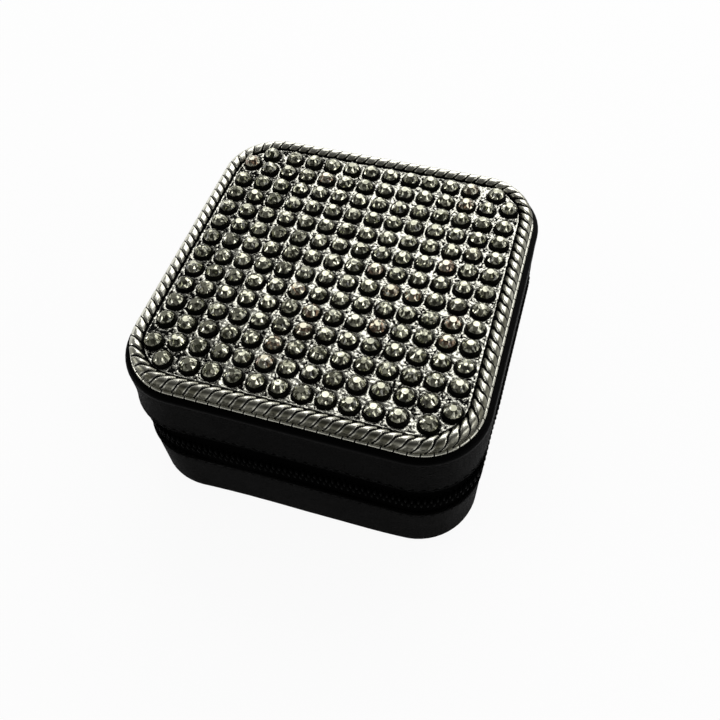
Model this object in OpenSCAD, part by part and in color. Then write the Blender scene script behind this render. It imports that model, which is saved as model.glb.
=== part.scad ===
// Square zip-round travel jewellery case with a rhinestone plate on its lid.
// Millimetres, +Z up. The origin is the centre of the bottom face; the front faces -Y, the hinge is at +Y.

/* [Case] */
// Width of the case, left to right
case_w = 100; // [90:1:120]
// Depth of the case, front to back
case_d = 100; // [90:1:120]
// Corner radius of the leather walls
corner_r = 18.5; // [16:0.5:22]
// Height of the base's leather wall
base_h = 19.3; // [18:0.1:26]
// Height of the bare zip band between the two leather walls
zip_band = 14.7; // [14:0.1:18]
// Height of the lid, from its leather edge to its top face
lid_h = 16; // [15.5:0.5:24]

/* [Layers] */
// Thickness of the outer leather
leather_t = 1; // [0.6:0.1:1.4]
// Thickness of the greyboard shells
board_t = 1.8; // [1.5:0.1:2.4]
// Thickness of the velvet lining
lining_t = 1; // [0.6:0.1:1.2]
// How far each board shell stands out past its leather edge
board_rim = 3.3; // [2.5:0.1:3.5]
// Height of the base's leather wall above what the case stands on
leather_lift = 0.2; // [0:0.1:0.5]
// Gap between the lining's lip and the zip tape
lip_gap = 0.1; // [0.05:0.05:0.3]
// Height of the glossy binding on the lid's side
binding_h = 1.7; // [1.2:0.1:2.5]
// Width of the binding on the lid's top
binding_w = 3; // [2:0.1:5]

/* [Zip] */
// Thickness of the zip tape
tape_t = 0.6; // [0.4:0.1:0.8]
// Length of tape sewn in behind each leather edge
tape_tuck = 2; // [1:0.1:3]
// Height of one half of the coil
coil_w = 2.2; // [1.6:0.1:2.4]
// Thickness of the coil, out from the tape
coil_t = 1.3; // [1:0.1:1.6]
// Gap between the two halves of the coil
coil_gap = 0.6; // [0.5:0.1:0.8]
// Width of the leather hinge at the back
spine_w = 54; // [40:1:60]
// Space between the hinge and each zip stop
stop_gap = 0.5; // [0.3:0.1:1]
// Length of a zip stop along the tape
stop_l = 2; // [1.5:0.1:3]
// How far each end of the hinge's velvet strip stays inside the straight back wall
hinge_lining_in = 3; // [1:0.5:6]

/* [Slider] */
// Length of the slider
slider_l = 9; // [7:0.5:11]
// Width of the slider's outer blade
slider_w = 7.2; // [6:0.1:8]
// Width of the slider's inner blade
inner_blade_w = 5.4; // [4:0.1:5.6]
// Thickness of the slider's blades
blade_t = 0.8; // [0.7:0.1:1]
// Running clearance of the slider on the chain
slider_clear = 0.3; // [0.25:0.05:0.4]
// Thickness of the web between the two coils
web_t = 0.3; // [0.2:0.05:0.35]
// Distance of the parked slider from the middle of the left side
slider_y = 26; // [20:0.5:26]
// Radius of the bar that the pull hangs on
bar_r = 0.6; // [0.5:0.05:0.8]
// Radial clearance of the pull's eye on the bar
eye_clear = 0.08; // [0.05:0.01:0.1]
// Wall of the pull's eye
eye_wall = 0.75; // [0.6:0.05:0.9]
// Length of the pull from the bar to its tip
pull_l = 24; // [16:1:30]
// Width of the pull's blade
pull_w = 5.2; // [4:0.1:7]
// Thickness of the pull
pull_t = 1.1; // [0.8:0.1:1.4]
// Length of the pull's neck from the bar
pull_neck = 4; // [3:0.1:6]
// Width of the pull's eye and neck
eye_w = 2.6; // [2:0.1:3]
// Thickness of the slider's two posts
post_t = 0.8; // [0.6:0.1:1]
// Wall of the posts round the bar
post_wall = 0.6; // [0.4:0.1:0.8]
// Radius of the blades' corners
blade_corner = 1.6; // [0.8:0.1:2]
// Gap between the pull's eye and each post
post_gap = 0.2; // [0.1:0.05:0.4]

/* [Plate] */
// How far the plate's flange stays inside the lid's edge
flange_in = 1.7; // [1:0.1:3]
// Thickness of the flange
flange_t = 0.8; // [0.6:0.1:1.2]
// Radius of the rope border
rope_r = 1.85; // [1.4:0.05:2]
// Distance of the rope's centre inside the flange's edge
rope_in = 2.3; // [2.1:0.1:2.6]
// Height of the rope's round underside above the flange, which its flat foot fills
rope_lift = 0.05; // [0:0.05:0.2]
// Height of the stone ground above the lid
ground_h = 3; // [2.4:0.1:3.4]
// Gap between the stone ground and the rope
rope_gap = 0.1; // [0.05:0.05:0.3]
// Thickness of the plate's metal
plate_t = 1.2; // [0.8:0.1:1.4]

/* [Stones] */
// Space between stone centres
stone_pitch = 6.2; // [5.9:0.05:6.5]
// Least space between a seat and the edge of the stone ground
stone_edge = 0.3; // [0.1:0.1:1]
// Radius of a stone
stone_r = 2.32; // [1.8:0.01:2.5]
// Radius of a stone's seat
seat_r = 2.65; // [2.5:0.05:2.9]
// Height of a stone's seat
seat_h = 1; // [0.6:0.1:1.4]
// Height of a stone above its seat
stone_h = 1.5; // [1:0.1:2]
// Height of a stone's upright girdle
girdle_h = 0.3; // [0.2:0.05:0.5]
// Radius of a stone's flat table
table_r = 1.2; // [0.8:0.05:1.6]
// Most that the stones next to a bare corner lean towards it
corner_lean = 1.5; // [0:0.1:2]

/* [Interior] */
// Number of ring rolls
rolls_n = 6; // [6:1:6]
// Height of the ring rolls
roll_h = 16; // [12:0.5:17]
// Gap between two ring rolls
roll_gap = 1.4; // [1:0.1:2.4]
// Place of the centre wall's middle, from the middle of the case
wall_x = 2; // [-6:0.5:8]
// Thickness of the centre wall
wall_t = 2.4; // [2:0.1:3]
// Height of the centre wall and of the dividers
wall_h = 14.2; // [10:0.1:15]
// Thickness of a divider
divider_t = 2.4; // [1.6:0.1:3]
// Distance of each divider from the middle of the case
divider_y = 14; // [10:0.5:20]
// Clearance of soft pieces from what they fit in
soft_clear = 0.3; // [0.2:0.05:0.5]

/* [Lid pocket] */
// Width of the pocket
pocket_w = 72; // [60:1:76]
// Length of the pocket, from its mouth to its seam
pocket_l = 42; // [30:1:44]
// Depth of the pocket
pocket_h = 6.6; // [5.6:0.1:8]
// Thickness of the pocket's fabric
pocket_t = 0.8; // [0.5:0.1:1]
// Space between the pocket and the lid's back lining
pocket_in = 4; // [2:0.5:6]
// Width of the elastic in the pocket's mouth
elastic_w = 1.6; // [1.2:0.1:2.4]
// Height of the elastic
elastic_h = 1.2; // [1:0.1:1.6]

/* [Snap tabs] */
// Space between the three snap tabs
tab_pitch = 25; // [20:1:26]
// Width of a snap tab
tab_w = 8; // [7:0.5:10]
// Length of a snap tab
tab_l = 16; // [14:0.5:16]
// Thickness of a snap tab
tab_t = 1; // [0.8:0.1:1.2]
// Drop of the tabs below the lid's ceiling
tab_drop = 2.4; // [2.2:0.1:3]
// Width of the bar that the tabs are sewn to
bar_w = 2.4; // [2:0.1:3]
// Distance of the bar from the lid's front lining
bar_in = 2.2; // [1.5:0.1:4]
// Radius of a snap
snap_r = 3; // [2.4:0.1:3.4]
// Radius of a snap's socket
socket_r = 2.4; // [2:0.1:2.8]
// Height of a snap's cap
cap_h = 0.9; // [0.6:0.1:1.2]
// Height of a snap's socket
socket_h = 0.7; // [0.5:0.1:0.8]

/* [Hidden] */
$fn = 64;

// How far the shapes of one solid run into each other, and cuts run past a face
bite = 0.1;

// Colours
leather_c = "#1b1b1c";
gloss_c = "#0a0a0b";
board_c = "#8c7d68";
tape_c = "#111112";
velvet_c = "#2a2a2d";
metal_c = "#b9b8ae";
stone_c = "#6e6e5a";
black_metal_c = "#26262a";

// Heights
lid_z = base_h + zip_band;
top_z = lid_z + lid_h;
split_z = base_h + zip_band / 2;
floor_z = leather_t + board_t + lining_t;
ceiling_z = top_z - leather_t - board_t - lining_t;
base_rim_z = base_h + board_rim;
lid_rim_z = lid_z - board_rim;

// Radii of the layers about the corner centres
centre_x = case_w / 2 - corner_r;
centre_y = case_d / 2 - corner_r;
board_r = corner_r - leather_t;
tape_r = board_r - tape_t;
shell_r = board_r - board_t;
inner_r = shell_r - lining_t;
inner_x = centre_x + inner_r;
inner_y = centre_y + inner_r;
coil_r = board_r + coil_t;
zip_end_x = spine_w / 2 + stop_gap;
hinge_lining_w = 2 * (centre_x - hinge_lining_in);

// The plate
flange_r = corner_r - flange_in;
rope_c = flange_r - rope_in;
ground_r = rope_c - rope_r - rope_gap;
pad_r = ground_r - plate_t - rope_gap;
rope_z = top_z + flange_t + rope_r + rope_lift;
seat_z = top_z + ground_h;

// Interior
roll_pitch = 2 * inner_y / rolls_n;
wall_left = wall_x - wall_t / 2;
wall_right = wall_x + wall_t / 2;
pocket_z = ceiling_z - pocket_h;
pocket_back = inner_y - pocket_in;
pocket_mouth = pocket_back - pocket_l;
bar_y = -inner_y + bar_in;
tab_z = ceiling_z - tab_drop - tab_t;
tab_root_y = bar_y + bar_w + soft_clear;
snap_y = tab_root_y + tab_l - tab_w / 2;

// The slider and its pull, on the left side
chain_x = -(centre_x + coil_r);
blade_x = chain_x - slider_clear;
blade_out_x = blade_x - blade_t;
inner_blade_x = -(centre_x + tape_r) + slider_clear;
eye_r = bar_r + eye_clear + eye_wall;
bar_x = blade_out_x - eye_r - post_gap;

// Where the stones sit: a square grid that leaves out the stones that would leave the ground at its corners
reach = ground_r - seat_r;
stones_x = floor(2 * (centre_x + reach - stone_edge) / stone_pitch) + 1;
stones_y = floor(2 * (centre_y + reach - stone_edge) / stone_pitch) + 1;
function past(v, centre) = max(0, abs(v) - centre);
function fits(x, y) = norm([past(x, centre_x), past(y, centre_y)]) <= reach;
function grid_at(i, n) = (i - (n - 1) / 2) * stone_pitch;
function room(v, w, centre_v, centre_w) = sqrt(pow(reach, 2) - pow(past(w, centre_w), 2)) + centre_v - abs(v);
function lean(v, w, centre_v, centre_w) = sign(v) * min(corner_lean, room(v, w, centre_v, centre_w));
function step_out(v) = v + sign(v) * stone_pitch;
function is_inner(i, n) = i > 0 && i < n - 1;
stone_xy = [
    for (i = [0:stones_x - 1])
        for (j = [0:stones_y - 1])
            let (
                x = grid_at(i, stones_x),
                y = grid_at(j, stones_y),
                bare_x = is_inner(i, stones_x) && !fits(step_out(x), y),
                bare_y = is_inner(j, stones_y) && !fits(x, step_out(y))
            )
                if (fits(x, y)) [
                    x + (bare_x ? lean(x, y, centre_x, centre_y) : 0),
                    y + (bare_y ? lean(y, x, centre_y, centre_x) : 0)
                ]
];

// Outline of the case at radius r about the corner centres
module outline(r) {
    for (sx = [-1, 1])
        for (sy = [-1, 1])
            translate([sx * centre_x, sy * centre_y]) circle(r);
    square([2 * centre_x + 2 * r, 2 * centre_y], center = true);
    square([2 * centre_x, 2 * centre_y + 2 * r], center = true);
}

// Flat plate with the case's outline, from z0 to z1
module slab(r, z0, z1) {
    translate([0, 0, z0]) linear_extrude(z1 - z0) outline(r);
}

// Upright band with the case's outline, from z0 to z1
module band(r_out, r_in, z0, z1) {
    translate([0, 0, z0]) linear_extrude(z1 - z0) difference() {
        outline(r_out);
        outline(r_in);
    }
}

// Sweep of a flat profile round the case: x runs out from the corner centres and y runs up
module sweep_round() {
    for (a = [0, 90, 180, 270]) {
        out = a % 180 == 0 ? centre_x : centre_y;
        along = a % 180 == 0 ? centre_y : centre_x;
        rotate([0, 0, a]) translate([out, along, 0]) {
            rotate([90, 0, 0]) linear_extrude(2 * along) children();
            rotate_extrude(angle = 90) children();
        }
    }
}

// Space at the back that the zip leaves to the hinge, half_w each side of the middle
module hinge_space(half_w) {
    translate([-half_w, 0, 0]) cube([2 * half_w, case_d, top_z]);
}

// Base
module base_board() {
    color(board_c) difference() {
        union() {
            slab(board_r, leather_t, base_h - tape_tuck);
            slab(tape_r, base_h - tape_tuck, base_rim_z);
        }
        slab(shell_r, leather_t + board_t, base_rim_z + bite);
    }
}

module base_leather() {
    color(leather_c) band(corner_r, board_r, leather_lift, base_h);
}

module bottom_leather() {
    color(leather_c) slab(board_r, 0, leather_t);
}

module zip_tape(z0, z1) {
    color(tape_c) difference() {
        band(board_r, tape_r, z0, z1);
        hinge_space(spine_w / 2);
    }
}

module base_zip_tape() {
    zip_tape(base_h - tape_tuck, split_z - coil_gap / 2);
}

module zip_coil(z0) {
    color(gloss_c) difference() {
        band(coil_r, board_r, z0, z0 + coil_w);
        hinge_space(zip_end_x + stop_l);
    }
}

module base_zip_coil() {
    zip_coil(split_z - coil_gap / 2 - coil_w);
}

// A pair of crimped stops, one at each end of the coil
module zip_stops(z0) {
    color(black_metal_c)
        for (side = [-1, 1])
            translate([side * (zip_end_x + stop_l / 2), centre_y + board_r + coil_t / 2, z0 + coil_w / 2])
                cube([stop_l - 2 * bite, coil_t, coil_w], center = true);
}

module base_zip_stops() {
    zip_stops(split_z - coil_gap / 2 - coil_w);
}

module base_lining() {
    color(velvet_c) difference() {
        union() {
            slab(shell_r, leather_t + board_t, base_rim_z);
            slab(tape_r - lip_gap, base_rim_z, base_rim_z + lining_t);
        }
        slab(inner_r, floor_z, base_rim_z + lining_t + bite);
    }
}

module centre_wall() {
    color(velvet_c) intersection() {
        translate([wall_left, -case_d / 2, floor_z]) cube([wall_t, case_d, wall_h]);
        slab(inner_r, floor_z, floor_z + wall_h);
    }
}

// Round-topped foam roll number i, counted from the front
module ring_roll(i) {
    roll_w = roll_pitch - roll_gap;
    color(velvet_c) intersection() {
        translate([-inner_x, -inner_y + (i - 0.5) * roll_pitch, floor_z]) rotate([90, 0, 90])
            linear_extrude(wall_left + inner_x) {
                translate([0, roll_h - roll_w / 2]) circle(d = roll_w);
                translate([-roll_w / 2, 0]) square([roll_w, roll_h - roll_w / 2]);
            }
        slab(inner_r - soft_clear, floor_z, floor_z + roll_h);
    }
}

module ring_roll_1() { ring_roll(1); }
module ring_roll_2() { ring_roll(2); }
module ring_roll_3() { ring_roll(3); }
module ring_roll_4() { ring_roll(4); }
module ring_roll_5() { ring_roll(5); }
module ring_roll_6() { ring_roll(6); }

// Leather strip across the back, from z0 to z1
module spine(z0, z1) {
    color(leather_c) translate([-spine_w / 2, centre_y + board_r, z0]) cube([spine_w, leather_t, z1 - z0]);
}

module spine_base() {
    spine(base_h, split_z - coil_gap / 4);
}

// Velvet strip that covers the inside of the hinge, from z0 to z1
module hinge_lining(z0, z1) {
    color(velvet_c) translate([-hinge_lining_w / 2, centre_y + inner_r, z0])
        cube([hinge_lining_w, lining_t, z1 - z0]);
}

module hinge_lining_base() {
    hinge_lining(base_rim_z + lining_t, split_z - coil_gap / 2);
}

// Removable divider from the centre wall to the right-hand lining
module divider(y) {
    color(velvet_c) translate([wall_right + soft_clear, y - divider_t / 2, floor_z])
        cube([inner_x - wall_right - 2 * soft_clear, divider_t, wall_h]);
}

module divider_front() { divider(-divider_y); }
module divider_back() { divider(divider_y); }

// Lid
module lid_board() {
    color(board_c) difference() {
        union() {
            slab(board_r, lid_z + tape_tuck, top_z - leather_t);
            slab(tape_r, lid_rim_z, lid_z + tape_tuck);
        }
        slab(shell_r, lid_rim_z - bite, top_z - leather_t - board_t);
    }
}

module lid_leather() {
    color(leather_c) band(corner_r, board_r, lid_z, top_z - binding_h);
}

// Glossy strip that wraps the lid's top edge
module lid_binding() {
    color(gloss_c) sweep_round() translate([0, top_z]) {
        intersection() {
            translate([board_r, -leather_t]) circle(leather_t);
            translate([board_r, -leather_t]) square(leather_t);
        }
        translate([corner_r - binding_w, -leather_t]) square([binding_w - leather_t, leather_t]);
        translate([board_r, -binding_h]) square([leather_t, binding_h - leather_t]);
    }
}

module lid_top_leather() {
    color(leather_c) slab(corner_r - binding_w, top_z - leather_t, top_z);
}

module lid_zip_tape() {
    zip_tape(split_z + coil_gap / 2, lid_z + tape_tuck);
}

module lid_zip_coil() {
    zip_coil(split_z + coil_gap / 2);
}

module lid_zip_stops() {
    zip_stops(split_z + coil_gap / 2);
}

module lid_lining() {
    color(velvet_c) difference() {
        union() {
            slab(shell_r, lid_rim_z, ceiling_z + lining_t);
            slab(tape_r - lip_gap, lid_rim_z - lining_t, lid_rim_z);
        }
        slab(inner_r, lid_rim_z - lining_t - bite, ceiling_z);
    }
}

module spine_lid() {
    spine(split_z + coil_gap / 4, lid_z);
}

module hinge_lining_lid() {
    hinge_lining(split_z + coil_gap / 2, lid_rim_z - lining_t);
}

// Fabric pocket on the lid's ceiling, open towards the front
module pocket_panel() {
    color(velvet_c) difference() {
        translate([-pocket_w / 2, pocket_mouth, pocket_z]) cube([pocket_w, pocket_l, pocket_h]);
        translate([-pocket_w / 2 + pocket_t, pocket_mouth - bite, pocket_z + pocket_t])
            cube([pocket_w - 2 * pocket_t, pocket_l + bite - pocket_t, pocket_h]);
    }
}

module pocket_elastic() {
    color(gloss_c) translate([-pocket_w / 2, pocket_mouth - elastic_w, pocket_z])
        cube([pocket_w, elastic_w, elastic_h]);
}

module snap_tab_bar() {
    color(leather_c) translate([-tab_pitch - tab_w / 2, bar_y, tab_z])
        cube([2 * tab_pitch + tab_w, bar_w, ceiling_z - tab_z]);
}

// The three studs that the tabs snap to
module snap_studs() {
    color(black_metal_c)
        for (i = [-1:1])
            translate([i * tab_pitch, snap_y, tab_z + tab_t + socket_h + soft_clear])
                cylinder(r = snap_r, h = ceiling_z - tab_z - tab_t - socket_h - soft_clear);
}

// Leather strap of tab number i, with a round end
module snap_tab(i) {
    x = (i - 2) * tab_pitch;
    color(leather_c) translate([0, 0, tab_z]) linear_extrude(tab_t) {
        translate([x, snap_y]) circle(d = tab_w);
        translate([x - tab_w / 2, tab_root_y]) square([tab_w, tab_l - tab_w / 2]);
    }
}

module snap_tab_1() { snap_tab(1); }
module snap_tab_2() { snap_tab(2); }
module snap_tab_3() { snap_tab(3); }

// Snap of tab number i: a cap under the strap and a socket above it
module snap_cap(i) {
    x = (i - 2) * tab_pitch;
    color(black_metal_c) translate([x, snap_y, 0]) {
        translate([0, 0, tab_z - cap_h]) cylinder(r1 = snap_r - cap_h, r2 = snap_r, h = cap_h);
        translate([0, 0, tab_z + tab_t]) cylinder(r = socket_r, h = socket_h);
    }
}

module snap_cap_1() { snap_cap(1); }
module snap_cap_2() { snap_cap(2); }
module snap_cap_3() { snap_cap(3); }

// Foam pad that fills the hollow under the plate
module plate_pad() {
    color(gloss_c) slab(pad_r, top_z, seat_z - plate_t);
}

module jewel_plate() {
    color(metal_c) difference() {
        union() {
            slab(flange_r, top_z, top_z + flange_t);
            slab(ground_r, top_z, seat_z);
        }
        slab(ground_r - plate_t, top_z - bite, seat_z - plate_t);
    }
}

// Rope border, seated flat on the flange
module rope_border() {
    color(metal_c) sweep_round() intersection() {
        translate([rope_c, rope_z]) circle(rope_r);
        translate([rope_c - rope_r, top_z + flange_t]) square([2 * rope_r, 3 * rope_r]);
    }
}

module stone_settings() {
    color(gloss_c)
        for (p = stone_xy)
            translate([p.x, p.y, seat_z]) cylinder(r = seat_r, h = seat_h, $fn = 24);
}

// An upright girdle with a sloping crown
module rhinestones() {
    color(stone_c)
        for (p = stone_xy)
            translate([p.x, p.y, seat_z + seat_h]) {
                cylinder(r = stone_r, h = girdle_h, $fn = 24);
                translate([0, 0, girdle_h])
                    cylinder(r1 = stone_r, r2 = table_r, h = stone_h - girdle_h, $fn = 24);
            }
}

// Upright blade on the left side with round corners, its outer face at x
module blade(x, w) {
    corner_up = w / 2 - blade_corner;
    corner_fore = slider_l / 2 - blade_corner;
    translate([x + blade_t, 0, 0]) rotate([0, -90, 0]) linear_extrude(blade_t) {
        for (up = [-1, 1])
            for (fore = [-1, 1])
                translate([up * corner_up, fore * corner_fore]) circle(blade_corner);
        square([w, slider_l - 2 * blade_corner], center = true);
        square([w - 2 * blade_corner, slider_l], center = true);
    }
}

// Two blades round the chain, a web between the coils, and two posts with a bar for the pull
module slider_body() {
    post_reach = bar_r + post_wall;
    color(black_metal_c) translate([0, slider_y, split_z]) {
        blade(blade_out_x, slider_w);
        blade(inner_blade_x, inner_blade_w);
        translate([blade_x - bite, -slider_l / 2 + blade_corner, -web_t / 2])
            cube([inner_blade_x - blade_x + 2 * bite, slider_l / 3, web_t]);
        for (side = [-1, 1])
            translate([bar_x, 0, side * (eye_w / 2 + post_gap + post_t / 2) - post_t / 2]) {
                cylinder(r = post_reach, h = post_t);
                translate([0, -post_reach, 0]) cube([blade_out_x - bar_x + bite, 2 * post_reach, post_t]);
            }
        translate([bar_x, 0, -eye_w / 2 - post_gap - bite])
            cylinder(r = bar_r, h = eye_w + 2 * post_gap + 2 * bite);
    }
}

// Flat pull with an eye on the slider's bar
module pull_tab() {
    color(black_metal_c) translate([bar_x, slider_y, split_z]) difference() {
        union() {
            translate([0, 0, -eye_w / 2]) cylinder(r = eye_r, h = eye_w);
            translate([-pull_t / 2, -pull_neck, -eye_w / 2]) cube([pull_t, pull_neck, eye_w]);
            translate([pull_t / 2, 0, 0]) rotate([0, -90, 0]) linear_extrude(pull_t) {
                translate([0, -pull_l + pull_w / 2]) circle(d = pull_w);
                translate([-pull_w / 2, -pull_l + pull_w / 2])
                    square([pull_w, pull_l - pull_w / 2 - pull_neck]);
            }
        }
        translate([0, 0, -eye_w]) cylinder(r = bar_r + eye_clear, h = 2 * eye_w);
    }
}

base_board();
base_leather();
bottom_leather();
base_zip_tape();
base_zip_coil();
base_zip_stops();
base_lining();
centre_wall();
ring_roll_1();
ring_roll_2();
ring_roll_3();
ring_roll_4();
ring_roll_5();
ring_roll_6();
spine_base();
hinge_lining_base();
divider_front();
divider_back();
lid_board();
lid_leather();
lid_binding();
lid_top_leather();
lid_zip_tape();
lid_zip_coil();
lid_zip_stops();
lid_lining();
spine_lid();
hinge_lining_lid();
pocket_panel();
pocket_elastic();
snap_tab_bar();
snap_studs();
snap_tab_1();
snap_tab_2();
snap_tab_3();
snap_cap_1();
snap_cap_2();
snap_cap_3();
plate_pad();
jewel_plate();
rope_border();
stone_settings();
rhinestones();
slider_body();
pull_tab();
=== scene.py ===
import math

import bpy
import bmesh
from mathutils import Matrix, Vector, noise


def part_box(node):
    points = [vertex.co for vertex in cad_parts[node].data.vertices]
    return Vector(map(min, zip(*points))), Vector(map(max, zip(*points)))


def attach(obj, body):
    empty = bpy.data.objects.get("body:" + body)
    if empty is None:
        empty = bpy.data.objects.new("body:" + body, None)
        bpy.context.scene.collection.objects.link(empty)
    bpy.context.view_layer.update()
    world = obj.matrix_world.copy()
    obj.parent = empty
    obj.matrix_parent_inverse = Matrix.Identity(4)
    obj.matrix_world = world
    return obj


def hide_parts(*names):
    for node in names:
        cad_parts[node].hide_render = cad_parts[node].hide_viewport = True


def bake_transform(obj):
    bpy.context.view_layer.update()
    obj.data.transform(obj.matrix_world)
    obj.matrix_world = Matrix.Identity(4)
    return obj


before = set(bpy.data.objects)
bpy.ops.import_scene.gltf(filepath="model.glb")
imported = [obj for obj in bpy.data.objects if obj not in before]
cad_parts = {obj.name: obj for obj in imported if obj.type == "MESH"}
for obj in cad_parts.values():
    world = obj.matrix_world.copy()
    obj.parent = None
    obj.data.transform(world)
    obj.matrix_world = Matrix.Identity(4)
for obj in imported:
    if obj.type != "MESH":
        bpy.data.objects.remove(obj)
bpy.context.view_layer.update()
print("stage: frame loaded")

mm = 0.001
scene = bpy.context.scene


def cosOf(degrees):
    return math.cos(math.radians(degrees))


def sinOf(degrees):
    return math.sin(math.radians(degrees))


def grey(level):
    return level, level, level, 1


# sizes that several pieces share; radii are about the corner centres
case = {
    "half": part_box("lid_leather")[1].x,          # half the width and depth
    "cornerR": 18.5 * mm,
    "boardR": 17.5 * mm,                         # inside of the leather
    "tapeR": 16.9 * mm,                          # inside of the zip tape
    "shellR": 15.7 * mm,
    "innerR": 14.7 * mm,                         # inside of the lining
    "baseTop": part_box("base_leather")[1].z,
    "lidEdge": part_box("lid_leather")[0].z,
    "bindingZ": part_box("lid_leather")[1].z,
    "top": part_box("lid_top_leather")[1].z,
}
case["centre"] = case["half"] - case["cornerR"]
case["split"] = (case["baseTop"] + case["lidEdge"]) / 2


# mesh helpers

def meshObject(name, verts, faces, uvs=None, smooth=True):
    mesh = bpy.data.meshes.new(name)
    mesh.from_pydata(verts, [], faces)
    if uvs:
        layer = mesh.uv_layers.new(name="UVMap")
        for loop, uv in zip(layer.data, uvs):
            loop.uv = uv
    mesh.polygons.foreach_set("use_smooth", [smooth] * len(mesh.polygons))
    obj = bpy.data.objects.new(name, mesh)
    scene.collection.objects.link(obj)
    return obj


def quads(rows, ring, wrapRows=False, wrapRing=False):
    # the faces between rows of ring points each
    faces = []
    for i in range(rows if wrapRows else rows - 1):
        j = (i + 1) % rows
        for k in range(ring if wrapRing else ring - 1):
            m = (k + 1) % ring
            faces.append((i * ring + k, j * ring + k, j * ring + m, i * ring + m))
    return faces


def closeUp(obj, sharp=40):
    # merges doubles, turns a closed shell's faces outwards and marks its sharp edges
    bm = bmesh.new()
    bm.from_mesh(obj.data)
    bmesh.ops.remove_doubles(bm, verts=bm.verts, dist=2e-6)
    bmesh.ops.recalc_face_normals(bm, faces=bm.faces)
    bm.to_mesh(obj.data)
    bm.free()
    obj.data.set_sharp_from_angle(angle=math.radians(sharp))
    return obj


def merged(name, parts):
    # several objects become one
    bm = bmesh.new()
    for part in parts:
        bm.from_mesh(part.data)
        bpy.data.objects.remove(part)
    obj = meshObject(name, [], [])
    bm.to_mesh(obj.data)
    bm.free()
    return obj


def place(obj, body, slot, material, *replaced):
    if material:
        obj.data.materials.clear()
        obj.data.materials.append(material)
    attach(obj, body)
    if replaced:
        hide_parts(*replaced)
    return obj


def applied(obj):
    # the evaluated mesh takes the place of the modifiers
    graph = bpy.context.evaluated_depsgraph_get()
    graph.update()
    mesh = bpy.data.meshes.new_from_object(obj.evaluated_get(graph))
    obj.modifiers.clear()
    obj.data = mesh
    return obj


def roundPath(radius, gap, shift, step, cornerSteps):
    # stations round the case from the back's middle, anticlockwise: corner path point, outward, length so far
    c = case["centre"]
    legs = [((-gap - shift, c), (-c, c), 90), ((-c, c), (-c, -c), 180), ((-c, -c), (c, -c), 270),
            ((c, -c), (c, c), 360), ((c, c), (gap - shift, c), 450)]
    stations = []
    for i, (a, b, angle) in enumerate(legs):
        a, b = Vector((*a, 0)), Vector((*b, 0))
        count = max(1, round((b - a).length / step))
        turn = math.radians(angle)
        for k in range(0 if i == 0 else 1, count + 1):
            stations.append((a.lerp(b, k / count), turn))
        if i < len(legs) - 1:
            for k in range(1, cornerSteps + 1):
                stations.append((b, turn + math.radians(90) * k / cornerSteps))
    path, along, before = [], 0.0, None
    for base, turn in stations:
        out = Vector((math.cos(turn), math.sin(turn), 0))
        point = base + out * radius
        if before is not None:
            along += (point - before).length
        before = point
        path.append((base, out, along))
    return path


def sweepRound(name, profile, gap=0.0, capped=False, wobble=None):
    # sweeps a profile of (r, z) round the case. A closed profile makes a band, open at the hinge where it has
    # a gap; a capped one is an open line whose first and last rings are filled, which makes a plate or a bowl
    path = roundPath(case["cornerR"], gap, 0.0, 3 * mm, 14)
    ring = len(profile)
    total = path[-1][2]
    if gap == 0.0:
        path = path[:-1]
    lengths = [0.0]
    for a, b in zip(profile, profile[1:] + profile[:1]):
        lengths.append(lengths[-1] + math.dist(a, b))
    verts = []
    for base, out, along in path:
        for r, z in profile:
            push = wobble(along, r, z) if wobble else 0.0
            verts.append(base + out * (r + push) + Vector((0, 0, z)))
    faces, uvs = [], []
    n = len(path)
    for i in range(n if gap == 0.0 else n - 1):
        j = (i + 1) % n
        u0, u1 = path[i][2], (path[j][2] if j else total)
        for k in range(ring - 1 if capped else ring):
            m = (k + 1) % ring
            faces.append((i * ring + k, j * ring + k, j * ring + m, i * ring + m))
            uvs += [(u0, lengths[k]), (u1, lengths[k]), (u1, lengths[k + 1]), (u0, lengths[k + 1])]
    ends = []
    if capped:
        ends = [[i * ring for i in range(n)], [i * ring + ring - 1 for i in range(n)]]
    elif gap:
        ends = [list(range(ring)), [(n - 1) * ring + k for k in range(ring)]]
    for face in ends:
        faces.append(tuple(face))
        uvs += [(verts[v].x, verts[v].y if capped else verts[v].z) for v in face]
    return closeUp(meshObject(name, verts, faces, uvs))


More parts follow.
